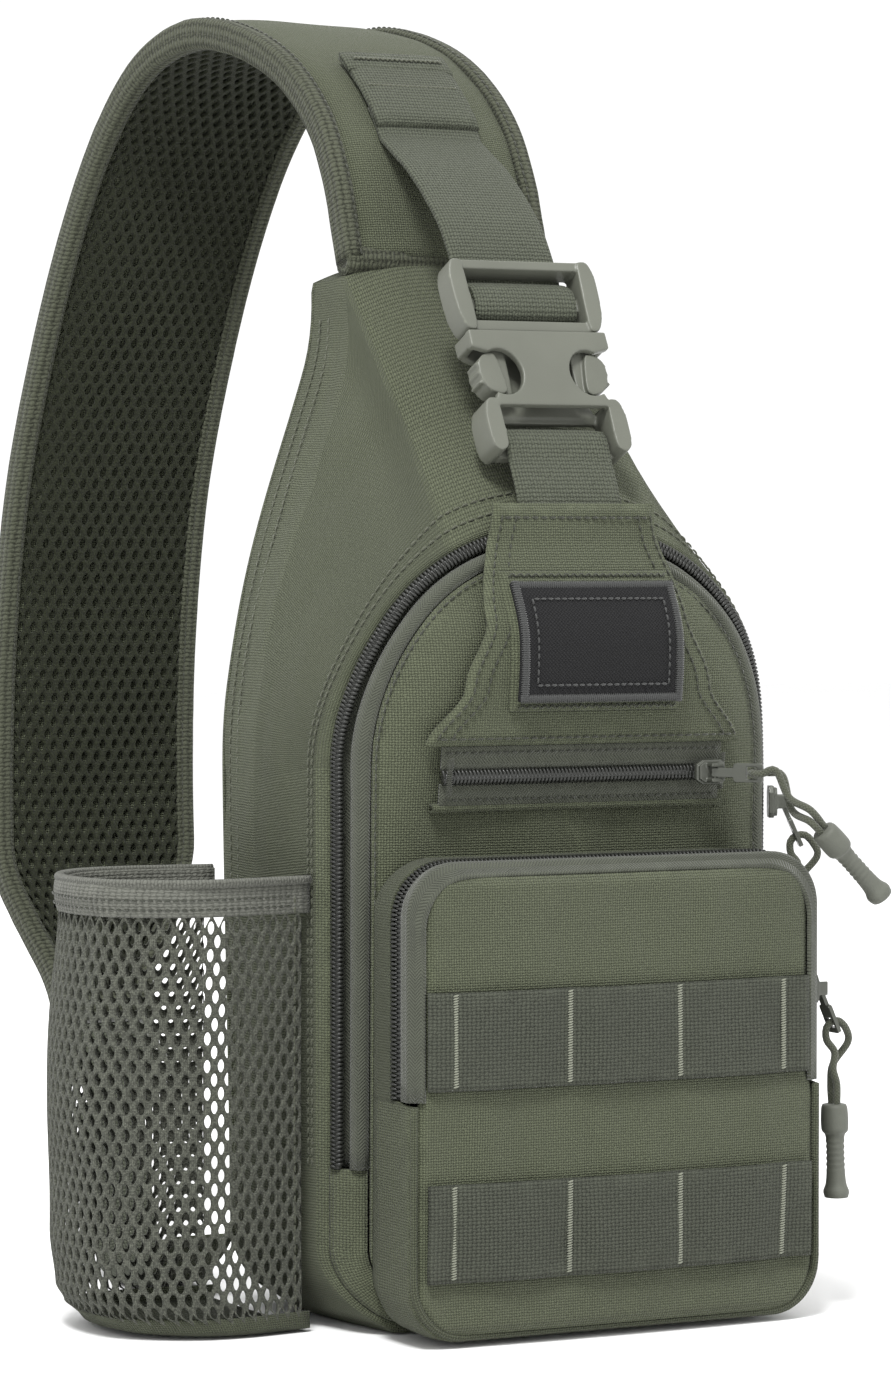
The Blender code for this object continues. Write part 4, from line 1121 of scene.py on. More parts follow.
def organizer_normal(point):
    return Vector((point.x, -0.035, point.z - 0.0745)).normalized()


def build_organizer():
    back = organizer_ring(ORG_BACK_HALF, 0.0, lambda x, z: front_y(x, z) - 0.0008)
    middle = organizer_ring(ORG_HALF, 0.0, lambda x, z: -0.0480)
    front = organizer_ring(ORG_HALF, 0.0, lambda x, z: ORG_FRONT_Y + 0.0006 if z < ORG_SPLIT_Z else ORG_ZIP_Y)
    rows = [[a.lerp(b, k / 5) for a, b in zip(back, middle)] for k in range(5)]
    rows += [[a.lerp(b, k / 8) for a, b in zip(middle, front)] for k in range(9)]
    wall = grid("organizer_gusset.cloth", rows, from_organizer, closed=True)

    def wall_folds(point):
        return 0.0012 * rough(point, 34.0, 11.0) * ease(-0.044 - point.y, 0.0, 0.004) \
            * (1.0 - ease(-point.y, 0.062, 0.069))

    rumple(wall, wall_folds)
    # The organizer's sides are oxford cloth with painted shade.
    place(thicken(wall, CLOTH), "root", "oxford_dark", "oxford", "organizer_gusset")

    zip_line = organizer_arc(0.0010, ORG_ZIP_Y - 0.0026)
    place(tube("organizer_zip_core", organizer_arc(0.0022, ORG_ZIP_Y - 0.0026), 0.0014, FRONT),
          "organizer_flap", "coil", "coil")
    coil_teeth("organizer_zip_teeth", zip_line, organizer_normal, 0.0030, "organizer_flap",
               nodes=["organizer_zip_coil"])
    rolled = []
    for k in range(15):
        t = k / 14
        inset = 0.0004 - 0.0006 * math.sin(math.pi * t) + 0.0036 * ease(t, 0.55, 1.0)
        rolled.append(organizer_arc(inset, -0.0626 - 0.0086 * t ** 0.85))
    band = grid("organizer_piping.cloth", rolled, from_organizer)
    place(thicken(band, 0.0014), "organizer_flap", "tape", "tape", "organizer_piping")
    build_organizer_front()
    build_molle()


def organizer_edge(x, z):
    """Distance of a point of the front face from the panel's edge."""
    inset = through(z, [(0.070, 0.0022), (0.080, 0.0046)])
    return min(organizer_face_half(z, inset) - abs(x), z - ORG_BOTTOM - 0.0022, ORG_TOP - 0.0046 - z)


def organizer_point(x, z, lift=0.0):
    edge = organizer_edge(x, z)
    puff = 0.0016 * rough((x, 0.0, z), 24.0, 21.0) + 0.0009 * rough((x * 2.0, 0.0, z), 45.0, 22.0)
    inward = 0.0018 * (1.0 - ease(edge, -0.0005, 0.0030))
    return Vector((x, organizer_face(x) + inward - lift - puff * ease(edge, 0.0, 0.010), z))


def build_organizer_front():
    low, high = ORG_BOTTOM + 0.0022, ORG_TOP - 0.0046
    rows = []
    for r in range(97):
        z = low + (high - low) * 0.5 * (1 - math.cos(math.pi * r / 96))
        half = organizer_face_half(z, through(z, [(0.070, 0.0022), (0.080, 0.0046)]))
        rows.append([organizer_point(half * math.sin(math.pi / 2 * (2 * c / 72 - 1)), z) for c in range(73)])
    panel = grid("organizer_front.cloth", rows, FRONT, planar=True)
    thicken(panel, 0.0020)
    panel.data.materials.append(LOOK["oxford"])
    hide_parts("organizer_flap", "organizer_lower_front")
    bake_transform(panel)
    ring = organizer_ring(ORG_HALF, 0.0014, lambda x, z: ORG_FRONT_Y + 0.0006)
    welt = ring_span(ring, len(ring) - FOLD_INDEX + 1, FOLD_INDEX - 1)
    # The welt is oxford cloth with painted shade.
    place(tube("organizer_welt", respaced(welt, 0.002), 0.0013, FRONT), "root", "oxford_dark", "oxford")


def build_molle():
    """Two rows of webbing, each tacked down at even spacing."""
    half, spacing = 0.0680, 0.0390
    for name, low, high, body in (("molle_webbing_upper", 0.0785, 0.1085, "organizer_flap"),
                                  ("molle_webbing_lower", 0.0200, 0.0500, "root")):
        def point(x, z):
            bulge = abs(math.cos(math.pi * (x + 0.001) / spacing)) ** 0.6
            across = 1.0 - 0.25 * (2.0 * (z - low) / (high - low) - 1.0) ** 4
            sway = 0.0004 * rough((x, low, z), 60.0, 31.0)
            face = organizer_point(x, z).y
            return Vector((x, face - 0.0017 - (0.0013 * bulge + sway) * across, z))

        rows = []
        for r in range(17):
            z = low + (high - low) * r / 16
            rows.append([point(half * (c / 72 - 1), z) for c in range(145)])
        row = grid(f"{name}.cloth", [list(column) for column in zip(*rows)], FRONT)
        place(thicken(row, 0.0014), body, "molle", "webbing", name)
        sewn = Beads()
        for k in (-1.5, -0.5, 0.5, 1.5):
            x = k * spacing - 0.001
            sewn.bar_tack(point(x, low + 0.0012) + FRONT * 0.0002, point(x, high - 0.0012) + FRONT * 0.0002,
                          ACROSS, FRONT, 0.0019, 0.0008, 0.00032)
        sewn.build(f"{name}_tacks", body, "pale_thread", "webbing")


# ---- mesh bottle pocket ----------------------------------------------------------------------
POCKET_LEVELS = [(0.0040, 0.865, 0.85), (0.0075, 0.935, 0.95), (0.013, 0.975, 1.0), (0.030, 1.0, 1.1),
                 (0.080, 1.02, 1.2), (0.1305, 0.965, 1.0)]


def pocket_point(angle, z, out, spread):
    middle = 0.5 * (POCKET_FRONT_Y + POCKET_REAR_Y)
    half = 0.5 * (POCKET_REAR_Y - POCKET_FRONT_Y)
    y = middle + half * math.sin(angle) + 0.009 * spread * math.sin(2 * angle)
    wall = -BODY_HALF - 0.0008 + 0.0034 * ease(-y, 0.004, 0.020)
    return Vector((wall - POCKET_OUT * out * max(0.0, math.cos(angle)) ** 0.75, y, z))


def pocket_at(angle, z):
    out = through(z, [(level, out) for level, out, _spread in POCKET_LEVELS])
    spread = through(z, [(level, spread) for level, _out, spread in POCKET_LEVELS])
    dent = 0.0016 * rough((math.sin(angle) * 0.05, 0.0, z), 28.0, 41.0) * math.cos(angle)
    return pocket_point(angle, z, out + dent / POCKET_OUT, spread)


def from_pocket(point):
    return Vector((point.x + 0.105, point.y - 0.014, point.z - 0.075))


def build_bottle_pocket():
    angles = [math.pi * (k / 120 - 0.5) for k in range(121)]
    widest = [pocket_at(angle, 0.080) for angle in angles]
    lengths = [0.0]
    for a, b in zip(widest, widest[1:]):
        lengths.append(lengths[-1] + (b - a).length)

    def angle_at(u):
        u = min(max(u, 0.0), lengths[-1])
        k = next(i for i in range(1, len(lengths)) if lengths[i] >= u)
        share = (u - lengths[k - 1]) / (lengths[k] - lengths[k - 1])
        return angles[k - 1] + (angles[k] - angles[k - 1]) * share

    low, high = 0.0040, POCKET_TOP - ELASTIC_TALL + 0.001

    def surface(u, v, sunk):
        angle = min(max(angle_at(u), -1.553), 1.553)
        point = pocket_at(angle, low + v)
        step = 0.01
        along = pocket_at(min(angle + step, 1.5707), low + v) - pocket_at(max(angle - step, -1.5707), low + v)
        outward = Vector((along.y, -along.x, 0.0))
        outward = -outward.normalized() if outward.dot(from_pocket(point)) < 0 else outward.normalized()
        return point - outward * sunk

    mesh = open_mesh("bottle_pocket_mesh.knit", surface, lengths[-1], high - low, (0.0047, 0.0085),
                     (0.00118, 0.0020), 0.0010)
    place(mesh, "root", "knit", "pocket_mesh", "bottle_pocket_mesh")

    levels = [(0.0006, 0.0, 0.0), (0.0006, 0.45, 0.4), (0.0007, 0.78, 0.75), (0.0018, 0.84, 0.82),
              (0.0040, 0.868, 0.85), (0.0060, 0.905, 0.9)]
    base = grid("bottle_pocket_base", [[pocket_point(a, z, out, spread) for a in angles]
                                       for z, out, spread in levels], from_pocket)
    # The pocket base is oxford cloth with painted shade.
    place(thicken(base, 0.0010), "root", "oxford_dark", "pocket_mesh")

    def band(angle, z, lift=0.0):
        ripple = 0.0005 * rough((math.sin(angle) * 0.05, 0.0, z), 130.0, 44.0)
        bowed = 0.0010 * math.sin(math.pi * (z - POCKET_TOP + ELASTIC_TALL) / ELASTIC_TALL)
        return pocket_point(angle, z, 0.968 + (ripple + bowed + lift) / POCKET_OUT, 1.0)

    heights = [POCKET_TOP - ELASTIC_TALL + ELASTIC_TALL * k / 10 for k in range(11)]
    rows = [[band(a, z) for a in angles] for z in heights]
    elastic = grid("bottle_pocket_elastic.cloth", rows, from_pocket)
    place(thicken(elastic, 0.0024), "root", "elastic", "elastic", "bottle_pocket_elastic")
    hem = [band(a, POCKET_TOP - 0.0002, -0.0011) for a in angles]
    place(tube("bottle_pocket_hem", hem, 0.0014, Vector((0, 0, 1))), "root", "elastic", "elastic")
    sewn = Beads()
    for k in range(2):
        z = POCKET_TOP - ELASTIC_TALL + 0.0024 + 0.0028 * k
        sewn.sew([band(a, z, 0.0003) for a in angles[2:-2]], from_pocket, 0.0026, 0.0019, 0.0003)
    sewn.build("bottle_pocket_stitches", "root", "dark_thread", "elastic")
    side = Beads()
    for angle in (-1.54, 1.54):
        line = [pocket_at(angle, 0.006 + 0.130 * k / 40) - ACROSS * 0.0006 for k in range(41)]
        side.sew(line, -ACROSS)
    side.build("bottle_pocket_side_stitches", "root", "thread", "pocket_mesh")


# ---- shoulder strap ---------------------------------------------------------------------------
def line_stations(line):
    """Point, direction and outward vector along a line whose width runs across X."""
    stations = []
    for k, point in enumerate(line):
        along = line[min(k + 1, len(line) - 1)] - line[max(k - 1, 0)]
        along.x = 0.0
        along.normalize()
        stations.append((point, along, ACROSS.cross(along)))
    return stations


STRAP_ROOT = (0.0, 0.0462, 0.3365)       # the strap's sewn-in end, below the body's top seam
STRAP = line_stations(smooth_line([STRAP_ROOT, *STRAP_ROUTE], 0.004))


def strap_span(low, high):
    """Point and outward vector of the strap's stations between two lengths from its sewn-in end."""
    travelled, previous, span = 0.0, STRAP[0][0], []
    for point, _along, outward in STRAP:
        travelled += (point - previous).length
        previous = point
        if low <= travelled <= high:
            span.append((point, outward))
    return span


def strap_half(k):
    return STRAP_HALF - 0.020 * ease(k, len(STRAP) - 17, len(STRAP) - 1)


def strap_inner(k):
    return strap_half(k) - BINDING_WIDE


def build_strap():
    travelled = [0.0]
    for (a, _d, _o), (b, _e, _p) in zip(STRAP, STRAP[1:]):
        travelled.append(travelled[-1] + (b - a).length)
    total = travelled[-1]

    def station_at(v):
        v = min(max(v, 0.0), total - 1e-6)
        k = min(int(v / total * (len(STRAP) - 1)), len(STRAP) - 2)
        while k < len(STRAP) - 2 and travelled[k + 1] < v:
            k += 1
        while k > 0 and travelled[k] > v:
            k -= 1
        share = (v - travelled[k]) / (travelled[k + 1] - travelled[k])
        point = STRAP[k][0].lerp(STRAP[k + 1][0], share)
        outward = STRAP[k][2].lerp(STRAP[k + 1][2], share).normalized()
        return point, outward, strap_inner(k) + (strap_inner(k + 1) - strap_inner(k)) * share

    wide = 2.0 * (STRAP_HALF - BINDING_WIDE) + 0.002

    def lining(u, v, sunk):
        point, outward, inner = station_at(v)
        across = (u / wide * 2.0 - 1.0)
        sag = 0.0006 * rough((across * 0.03, v, 0.0), 40.0, 51.0) - 0.0007 * (1.0 - across * across)
        return point + ACROSS * across * (inner + 0.001) + outward * (MESH_LOW + 0.0004 + sag + sunk)

    mesh = open_mesh("strap_mesh_lining.knit", lining, wide, total - 0.002, (0.0047, 0.0085),
                     (0.00118, 0.0018), 0.0014)
    place(mesh, "root", "strap_knit", "air_mesh", "strap_mesh_lining")

    rows = []
    columns = 28
    for k in range(len(STRAP)):
        point, _along, outward = STRAP[k]
        inner = strap_inner(k) + 0.0006
        row = []
        for c in range(columns + 1):
            across = 2.0 * c / columns - 1.0
            rounded = 0.0014 * (1.0 - across ** 4) - 0.0010 * abs(across) ** 12
            crease = 0.0006 * rough((across * 0.006, travelled[k], 0.0), 75.0, 52.0)
            crease += 0.0005 * rough((across * 0.04, travelled[k] * 0.8, 0.0), 30.0, 53.0)
            row.append(point + ACROSS * across * inner + outward * (PAD_HIGH - 0.0004 + rounded + crease))
        for c in range(columns, -1, -1):
            across = 2.0 * c / columns - 1.0
            row.append(point + ACROSS * across * inner + outward * (PAD_LOW - 0.0008))
        rows.append(row)
    pad = cap_ends(grid("strap_pad.cloth", rows, ANY_WAY, closed=True))
    place(pad, "root", "oxford", "oxford", "strap_pad")

    low, high = MESH_LOW - 0.0011, PAD_HIGH + 0.0011
    stitched = Beads()
    for name, side in (("strap_binding_left", -1.0), ("strap_binding_right", 1.0)):
        rows, seams = [], ([], [])
        for k in range(len(STRAP)):
            point, _along, outward = STRAP[k]
            outer, inner = strap_half(k), strap_inner(k) - 0.0004
            ripple = 0.0003 * rough((side, travelled[k], 0.0), 150.0, 54.0)
            ring = []
            for s in range(20):
                angle = math.tau * s / 20
                cos, sin = math.cos(angle), math.sin(angle)
                along_x = 0.5 * (outer + inner) + 0.5 * (outer - inner) * math.copysign(abs(cos) ** 0.45, cos)
                level = 0.5 * (low + high) + 0.5 * (high - low) * math.copysign(abs(sin) ** 0.6, sin)
                ring.append(point + ACROSS * side * along_x + outward * (level + ripple * sin))
            rows.append(ring)
            seam = point + ACROSS * side * (inner + 0.0018)
            seams[0].append(seam + outward * (high - 0.0001))
            seams[1].append(seam + outward * (low + 0.0001))
        binding = cap_ends(grid(f"{name}.cloth", rows, ANY_WAY, closed=True))
        place(binding, "root", "binding", "binding", name)
        for seam in seams:
            line = respaced(seam, 0.0030)
            for k, (a, b) in enumerate(zip(line, line[1:])):
                outward = STRAP[round(k * (len(STRAP) - 1) / len(line))][2]
                stitched.add(a, a + (b - a) * 0.76, outward, 0.00034, 0.0002)
    stitched.build("strap_binding_stitches", "root", "dark_thread", "binding")
    for index, name in ((0, "strap_end_top"), (len(STRAP) - 1, "strap_end_low")):
        point, _along, outward = STRAP[index]
        half = strap_half(index) - 0.001
        bar = [point + ACROSS * half * (k / 8 - 1) for k in range(17)]
        place(tube(name, bar, 0.0052, outward), "root", "binding", "binding")
    build_strap_ends()


def webbing(name, line, half, thickness):
    """Flat webbing with rounded selvedges along a line, its width across X."""
    rows = []
    for k, (point, _along, outward) in enumerate(line_stations(line)):
        ripple = 0.0002 * rough((0.0, 0.004 * k, 0.0), 120.0, 61.0)
        ring = []
        for s in range(36):
            angle = math.tau * s / 36
            cos, sin = math.cos(angle), math.sin(angle)
            x = half * math.copysign(abs(cos) ** 0.35, cos)
            level = 0.5 * thickness * math.copysign(abs(sin) ** 0.5, sin)
            ring.append(point + ACROSS * x + outward * (level + ripple))
        rows.append(ring)
    thing = grid(name, rows, ANY_WAY, closed=True)
    layer = thing.data.uv_layers["UVMap"]
    for polygon in thing.data.polygons:
        for index in polygon.loop_indices:
            corner = thing.data.vertices[thing.data.loops[index].vertex_index].co
            layer.data[index].uv[0] = corner.x + 1.0
    return cap_ends(thing)


def build_strap_ends():
    end, along, outward = STRAP[-1]
    seat = Matrix((ACROSS, -along, outward)).transposed().to_4x4()
    seat.translation = end + along * 0.0135
    rail, side = 0.0022, 0.0024
    bars = [(rounded_box(-0.0165, -0.0165 + side, -0.0125, 0.0125), -0.0021, 0.0021),
            (rounded_box(0.0165 - side, 0.0165, -0.0125, 0.0125), -0.0021, 0.0021)]
    for centre in (-0.0110, -0.0005, 0.0104):
        bars.append((rounded_box(-0.016, 0.016, centre - rail, centre + rail), -0.0019, 0.0019))
    lock = moulded("strap_adjuster.moulded", bars, seat, 0.00035, 3)
    place(lock, "root", "acetal", "acetal", "strap_adjuster")
    loop = [seat @ Vector((0.0, y, z)) for y, z in ((-0.020, 0.0006), (-0.013, 0.0012), (-0.0058, 0.0038),
                                                     (-0.0005, 0.0040), (0.0044, 0.0030), (0.0052, -0.0030),
                                                     (-0.002, -0.0042), (-0.012, -0.0040), (-0.024, -0.0034))]
    place(webbing("adjuster_webbing", smooth_line(loop, 0.0015), 0.0124, 0.0014), "root", "webbing", "webbing")
    tab = [end - along * 0.012 + outward * 0.0066, end + outward * 0.0062,
           end + along * 0.0052 + outward * 0.003]
    place(webbing("adjuster_tab", smooth_line(tab, 0.0015), 0.0124, 0.0014), "root", "webbing", "webbing")

    lower = webbing("strap_lower_webbing.woven", smooth_line(LOWER_WEB_ROUTE, 0.004), 0.0125, 0.0016)
    place(lower, "root", "webbing", "webbing", "strap_lower_webbing")
    wing = [(-0.0862, 0.0702, 0.0058), (-0.0864, 0.0652, 0.0096),
            (-0.0865, 0.0585, 0.0140), (-0.0865, 0.0520, 0.0200)]
    place(webbing("strap_wing_tab.cloth", smooth_line(wing, 0.003), 0.0122, 0.0024), "root", "oxford", "oxford",
          "strap_wing_tab")


# ---- buckle and its webbing ------------------------------------------------------------------------
def buckle_matrix(across=0.0, up=0.0, out=0.0):
    """Frame in the buckle's plane: X across, Y up along the webbing, Z out of its face."""
    up_axis = Vector((0.0, math.sin(BUCKLE_LEAN), math.cos(BUCKLE_LEAN)))
    made = Matrix((ACROSS, up_axis, ACROSS.cross(up_axis))).transposed().to_4x4()
    made.translation = BUCKLE_CENTRE
    return made @ Matrix.Translation((across, up, out))


def mirrored(outline):
    """Close a right half outline, listed from the bottom up, with its left half."""
    return outline + [(-x, y) for x, y in reversed(outline)]


def build_buckle():
    scoop = [(0.0158 + 0.0072 * math.cos(a), -0.0030 + 0.0082 * math.sin(a))
             for a in [math.radians(-62 - 236 * k / 16) for k in range(17)]]
    scoop = [(x, y) for x, y in scoop if x < 0.0232]
    face = mirrored([(0.0165, -0.0148), (0.0212, -0.0148)] + scoop + [(0.0250, 0.0058), (0.0248, 0.0118)])
    back = mirrored([(0.0200, -0.0148), (0.0160, -0.0075), (0.0160, 0.0025), (0.0235, 0.0060),
                     (0.0240, 0.0118)])
    plates = [(face, 0.0030, 0.0058), (back, -0.0058, -0.0032)]
    for side in (-1.0, 1.0):
        leg = [(0.0190, -0.0290), (0.0225, -0.0312), (0.0252, -0.0285), (0.0256, -0.0190), (0.0240, -0.0125),
               (0.0196, -0.0118)]
        plates.append((softened([(side * x, y) for x, y in leg]), -0.0058, 0.0056))
        cheek = rounded_box(0.0218, 0.0250, 0.0062, 0.0116, 0.0008)
        plates.append(([(side * x, y) for x, y in cheek], -0.0050, 0.0050))
    plates.append((rounded_box(-0.0205, 0.0205, -0.0306, -0.0270), -0.0046, -0.0006))
    plates.append((rounded_box(-0.0205, 0.0205, -0.0170, -0.0140), -0.0058, -0.0036))
    female = moulded("buckle_female.moulded", plates, buckle_matrix(), 0.00040, 11)
    place(female, "root", "acetal", "acetal", "buckle_female")

    plates = [(rounded_box(-0.0230, 0.0230, 0.0124, 0.0160, 0.0012), -0.0040, 0.0040),
              (rounded_box(-0.0245, 0.0245, 0.0346, 0.0378, 0.0012), -0.0040, 0.0042),
              (rounded_box(-0.0225, 0.0225, 0.0216, 0.0256, 0.0012), -0.0034, 0.0006)]
    for side in (-1.0, 1.0):
        post = [(0.0200, 0.0124), (0.0238, 0.0124), (0.0262, 0.0180), (0.0268, 0.0320), (0.0250, 0.0378),
                (0.0212, 0.0378), (0.0206, 0.0320)]
        plates.append((softened([(side * x, y) for x, y in post]), -0.0042, 0.0050))
    plates.append((rounded_box(-0.0040, 0.0040, -0.0085, 0.0130, 0.0015), -0.0022, 0.0022))
    male = moulded("buckle_male.moulded", plates, buckle_matrix(), 0.00040, 9)
    place(male, "buckle_male", "acetal", "acetal", "buckle_male_frame")

    for name, side, body in (("buckle_prong_left", -1.0, "prong_left"),
                             ("buckle_prong_right", 1.0, "prong_right")):
        arm = [(-0.0024, 0.0000), (0.0024, 0.0000), (0.0026, -0.0070), (0.0026, -0.0210), (-0.0022, -0.0210)]
        pad = [(0.0020, -0.0066), (0.0062, -0.0070), (0.0089, -0.0095), (0.0092, -0.0150), (0.0070, -0.0196),
               (0.0026, -0.0216), (0.0000, -0.0200)]
        shapes = [([(side * x, y) for x, y in arm], -0.0022, 0.0022),
                  (softened([(side * x, y) for x, y in pad], 3), -0.0040, 0.0040)]
        for k in range(3):
            y = -0.0105 - 0.0032 * k
            rib = rounded_box(0.0066, 0.0096, y - 0.0006, y + 0.0006, 0.0004, 2)
            shapes.append(([(side * x, v) for x, v in rib], -0.0034, 0.0034))
        prong = moulded(f"{name}.moulded", shapes, buckle_matrix(side * 0.0140, 0.0112), 0.00032, 7)
        place(prong, body, "acetal", "acetal", name)
    build_buckle_webbing()


def build_buckle_webbing():
    """Webbing round both bars of the buckle, down to the yoke and up to the strap."""
    def in_buckle(points):
        return [buckle_matrix(0.0, y, z).translation for y, z in points]

    yoke_end = Vector((0.0, -0.0385, 0.2578))
    start = in_buckle([(-0.0245, -0.0052), (-0.0215, -0.0030), (-0.0225, 0.0006), (-0.0270, 0.0016),
                       (-0.0318, 0.0010)])
    route = smooth_line(start + [start[-1].lerp(yoke_end, 0.5),
                                 yoke_end + Vector((0.0, -0.0010, -0.0040))], 0.0022)
    place(webbing("lower_webbing.woven", route, WEB_HALF - 0.0006, 0.0026), "root", "webbing", "webbing",
          "lower_webbing")

    over = smooth_line(in_buckle([(0.0178, -0.0040), (0.0182, -0.0005), (0.0200, 0.0022), (0.0236, 0.0030),
                                  (0.0280, 0.0024), (0.0312, -0.0008), (0.0334, -0.0046),
                                  (0.0372, -0.0058)]), 0.0014)
    place(webbing("buckle_webbing_loop", over, WEB_HALF - 0.0006, 0.0016), "buckle_male", "webbing", "webbing")

    on_strap = [point + outward * 0.0066 for point, outward in strap_span(0.0380, 0.0560)]
    up_line = [*in_buckle([(0.0330, -0.0052), (0.0386, -0.0050)]), Vector((0.0, 0.0150, 0.3475)),
               Vector((0.0, 0.0345, 0.3645)), *on_strap]
    upper = webbing("upper_webbing.woven", smooth_line(up_line, 0.003), WEB_HALF - 0.0002, 0.0030)
    upper.data.materials.append(LOOK["webbing"])
    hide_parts("upper_webbing")
    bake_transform(upper)
    build_anchor()


def build_anchor():
    """The webbing's folded end, box-stitched to the strap."""
    route = strap_span(0.0406, 0.0790)
    line = [point + outward * 0.0078 for point, outward in route]
    body = webbing("strap_webbing_anchor.woven", line, WEB_HALF, 0.0036)
    place(body, "root", "webbing", "webbing", "strap_webbing_anchor")
    fold = [point + outward * (0.0092 - 0.0008 * (k == 0)) for k, (point, outward) in enumerate(route[-3:])]
    place(webbing("anchor_fold", smooth_line(fold, 0.002), WEB_HALF + 0.0004, 0.0020),
          "root", "webbing", "webbing")
    sewn = Beads()

    def across_line(index, lift=0.0094):
        point, outward = route[index]
        return [point + outward * lift + ACROSS * 0.0165 * (k / 10 - 1) for k in range(21)], outward

    for index, lift in ((-5, 0.0094), (-2, 0.0106)):
        line, up = across_line(index, lift)
        sewn.sew(line, up, 0.0026, 0.0020, 0.0003)
        sewn.zigzag(line, (route[-1][0] - route[-2][0]).normalized(), up, 0.0018, 0.0016)
    sewn.build("anchor_stitches", "root", "thread", "webbing")


# ---- zip sliders and pullers ---------------------------------------------------------------------------
TAB_HOLE, CORD_RADIUS, RUBBER_LENGTH = 0.0122, 0.0012, 0.0300
RUBBER_PROFILE = [(0.0032, 0.0000), (0.0046, 0.0010), (0.0048, 0.0080), (0.0034, 0.0105),
                  (0.0032, 0.0180), (0.0036, 0.0250), (0.0046, 0.0280), (0.0042, 0.0300)]


def cord_route(tab, neck, aim):
    """Centre line of the looped cord, from the rubber end through the tab and back."""
    hole = tab @ Vector((TAB_HOLE, 0.0, 0.0))
    turn = tab.to_3x3()
    forward, side, over = (turn @ Vector(axis) for axis in ((1, 0, 0), (0, 1, 0), (0, 0, 1)))
    halves = []
    for sign in (1.0, -1.0):
        middle = hole.lerp(neck, 0.55) + side * (0.0020 * sign) + over * (0.0014 * sign)
        halves.append([neck + aim * 0.0014 + side * (0.0014 * sign),
                       neck - aim * 0.0060 + side * (0.0018 * sign),
                       middle,
                       hole + forward * 0.0090 + over * (0.0034 * sign) + side * (0.0010 * sign),
                       hole + forward * 0.0045 + over * (0.0040 * sign),
                       hole + forward * 0.0009 + over * (0.0026 * sign)])
    return halves[0] + [hole] + halves[1][::-1]


def grip(name, neck, aim):
    """Waisted rubber end with fine rings round its waist and a rounded foot."""
    turn = aim.to_track_quat("-Z", "Y").to_matrix().to_4x4()
    turn.translation = neck + aim * 0.0003
    profile = smooth_line([Vector((radius, 0.0, depth)) for radius, depth in RUBBER_PROFILE], 0.0005)
    rows = []
    for point in [Vector((0.0006, 0, 0.0)), Vector((0.0024, 0, 0.0))] + profile + [Vector((0.0026, 0, 0.0302)),
                                                                                  Vector((0.0006, 0, 0.0302))]:
        depth = max(0.0, min(RUBBER_LENGTH, point.z))
        rings = 0.00018 * math.sin(depth * math.tau / 0.0019) * ease(depth, 0.010, 0.013) \
            * (1.0 - ease(depth, 0.019, 0.023))
        radius = point.x + rings
        rows.append([turn @ Vector((radius * math.cos(math.tau * s / 28),
                                    radius * 0.86 * math.sin(math.tau * s / 28),
                                    -point.z)) for s in range(28)])
    return cap_ends(grid(name, rows, ANY_WAY, closed=True))


def build_puller(prefix, seat, along, outward, tilt, neck, aim):
    """Slider, hinged pull tab, looped cord and rubber end of one zip."""
    turned = Matrix((along, outward.cross(along), outward)).transposed().to_4x4()
    turned.translation = seat
    wedge = [(-0.0052, -0.0024), (-0.0030, -0.0038), (0.0036, -0.0039), (0.0052, -0.0028), (0.0052, 0.0028),
             (0.0036, 0.0039), (-0.0030, 0.0038), (-0.0052, 0.0024)]
    plates = [(wedge, 0.0001, 0.0018), ([(x * 0.88, y * 0.84) for x, y in wedge], 0.0014, 0.0029)]
    for side in (-1.0, 1.0):
        plates.append((rounded_box(-0.0022, 0.0022, side * 0.0024 - 0.0006, side * 0.0024 + 0.0006, 0.0003, 2),
                       0.0020, 0.0062))
    plates.append((rounded_box(-0.0005, 0.0005, -0.0024, 0.0024, 0.0003, 2), 0.0041, 0.0050))
    slider = moulded(f"{prefix}_slider.cast", plates, turned, 0.00022, 3)
    place(slider, f"{prefix}_slider", "metal", "painted_metal", f"{prefix}_slider")

    tab = turned @ Matrix.Translation((0.0, 0.0, 0.0045)) @ Matrix.Rotation(-tilt, 4, "Y")
    inner, outer = 0.0019, 0.0030
    bars = [(rounded_box(-0.0011, 0.0100, -0.0015, 0.0015, 0.0005, 2), -TAB_HALF_THICK, TAB_HALF_THICK),
            (rounded_box(0.0060, 0.0104, -outer, outer, 0.0009, 3), -TAB_HALF_THICK, TAB_HALF_THICK),
            (rounded_box(0.0140, 0.0158, -outer, outer, 0.0008, 3), -TAB_HALF_THICK, TAB_HALF_THICK)]
    for side in (-1.0, 1.0):
        bars.append((rounded_box(0.0090, 0.0150, min(side * inner, side * outer),
                                 max(side * inner, side * outer),
                                 0.0004, 2), -TAB_HALF_THICK, TAB_HALF_THICK))
    pull = moulded(f"{prefix}_pull_tab.cast", bars, tab, 0.00020, 2)
    place(pull, f"{prefix}_puller", "metal", "painted_metal", f"{prefix}_pull_tab")

    end = grip(f"{prefix}_pull_grip.rubber", neck, aim)
    place(end, f"{prefix}_puller", "rubber", "rubber", f"{prefix}_pull_grip")
    line = smooth_line(cord_route(tab, neck, aim), 0.0012)
    cord = tube(f"{prefix}_pull_cord.braid", line, CORD_RADIUS, aim.orthogonal(), 12)
    place(cord, f"{prefix}_puller", "cord", "cord", f"{prefix}_pull_cord")
    tuple(line[0])
    round(line_length(line), 3)
    [tuple(p) for p in line]


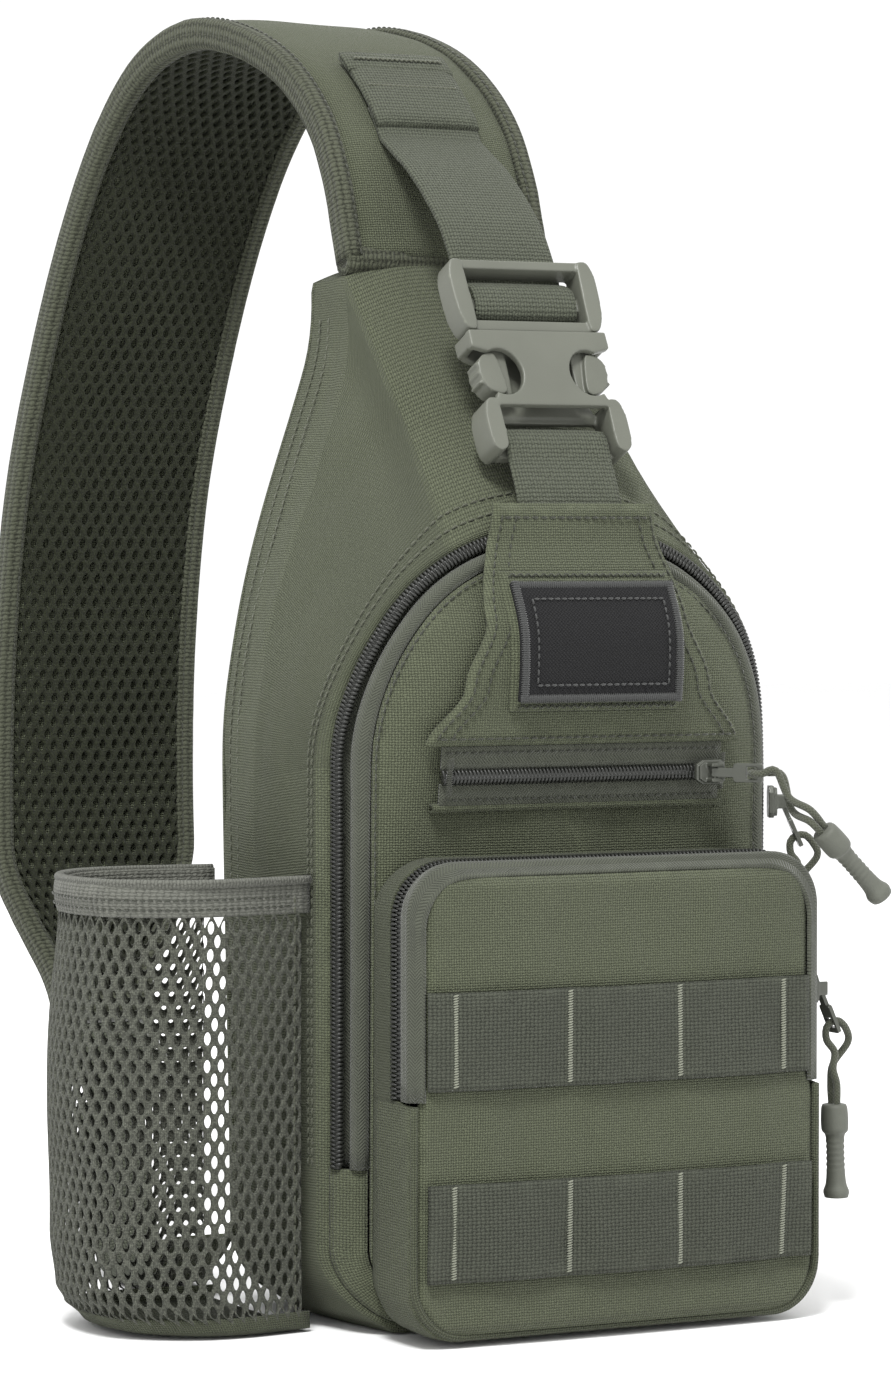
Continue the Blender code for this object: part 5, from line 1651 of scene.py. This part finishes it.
def build_pullers():
    slit_seat = Vector((0.0430, front_y(0.0430, SLIT_Z) - SLIT_COIL_LIFT - 0.0026, SLIT_Z))
    build_puller("slit", slit_seat, ACROSS, FRONT, math.radians(50.0),
                 Vector((0.0642, -0.0850, 0.1552)), Vector((0.70, -0.04, -0.71)).normalized())
    build_puller("organizer", Vector((ORG_HALF - 0.0010 + 0.0025, ORG_ZIP_Y - 0.0026, 0.1030)), DOWN, ACROSS,
                 HANGING_TILT, Vector((0.0850, ORG_ZIP_Y - 0.0026, 0.0660)),
                 Vector((0.03, 0.0, -1.0)).normalized())
    side_x = ARCH_HALF - COIL_INSET
    outward = Vector((0.90, -0.43, 0.0)).normalized()
    seat = Vector((side_x, front_y(side_x, 0.1610), 0.1610)) + outward * (0.0008 + COIL_RADIUS)
    build_puller("main", seat, DOWN, outward, HANGING_TILT, seat + outward * 0.0085 + DOWN * 0.0385, DOWN)


# ---- camera, light and floor -----------------------------------------------------------------------------
def build_camera():
    data = bpy.data.cameras.new("photo_view")
    data.lens = 126.5
    data.sensor_width = 36.0
    camera = bpy.data.objects.new("photo_view", data)
    bpy.context.scene.collection.objects.link(camera)
    camera.location = (-0.7508, -1.3690, 0.2434)
    aim = Vector((0.0032, 0.0510, 0.1954))
    camera.rotation_euler = (aim - camera.location).to_track_quat("-Z", "Y").to_euler()
    data.clip_end = 50.0
    bpy.context.scene.camera = camera


def area_light(name, place_at, aim_at, size, power):
    data = bpy.data.lights.new(name, "AREA")
    data.shape = "DISK"
    data.size = size
    data.energy = power
    lamp = bpy.data.objects.new(name, data)
    lamp.location = place_at
    lamp.rotation_euler = (Vector(aim_at) - Vector(place_at)).to_track_quat("-Z", "Y").to_euler()
    bpy.context.scene.collection.objects.link(lamp)


def build_studio():
    bpy.ops.mesh.primitive_plane_add(size=12.0, location=(0.0, 0.0, -0.0006))
    floor = bpy.context.object
    floor.name = "floor"
    material, graph = base_material("floor_paper", 0.9, 0.0, 0.1)
    graph.put(graph.mix(graph.noise(3.0), (0.90, 0.90, 0.90, 1.0), (0.92, 0.92, 0.92, 1.0)),
              graph.shader.inputs["Base Color"])
    floor.data.materials.append(material)
    world = bpy.data.worlds.new("studio")
    bpy.context.scene.world = world
    world.use_nodes = True
    world.node_tree.nodes["Background"].inputs["Color"].default_value = (1.0, 1.0, 1.0, 1.0)
    world.node_tree.nodes["Background"].inputs["Strength"].default_value = 1.08
    area_light("key", (-0.9, -1.0, 2.2), (0.0, 0.0, 0.18), 0.7, 62.0)
    area_light("fill", (1.7, -1.4, 0.9), (0.0, 0.0, 0.18), 1.6, 5.0)
    area_light("rim", (0.4, 1.6, 1.7), (0.0, 0.05, 0.2), 1.2, 12.0)
    bpy.context.scene.view_settings.view_transform = "Standard"


build_camera()
build_pullers()
build_body()
build_main_zip()
build_inside()
build_back()
build_front_pieces()
build_organizer()
build_bottle_pocket()
build_strap()
build_buckle()
build_studio()
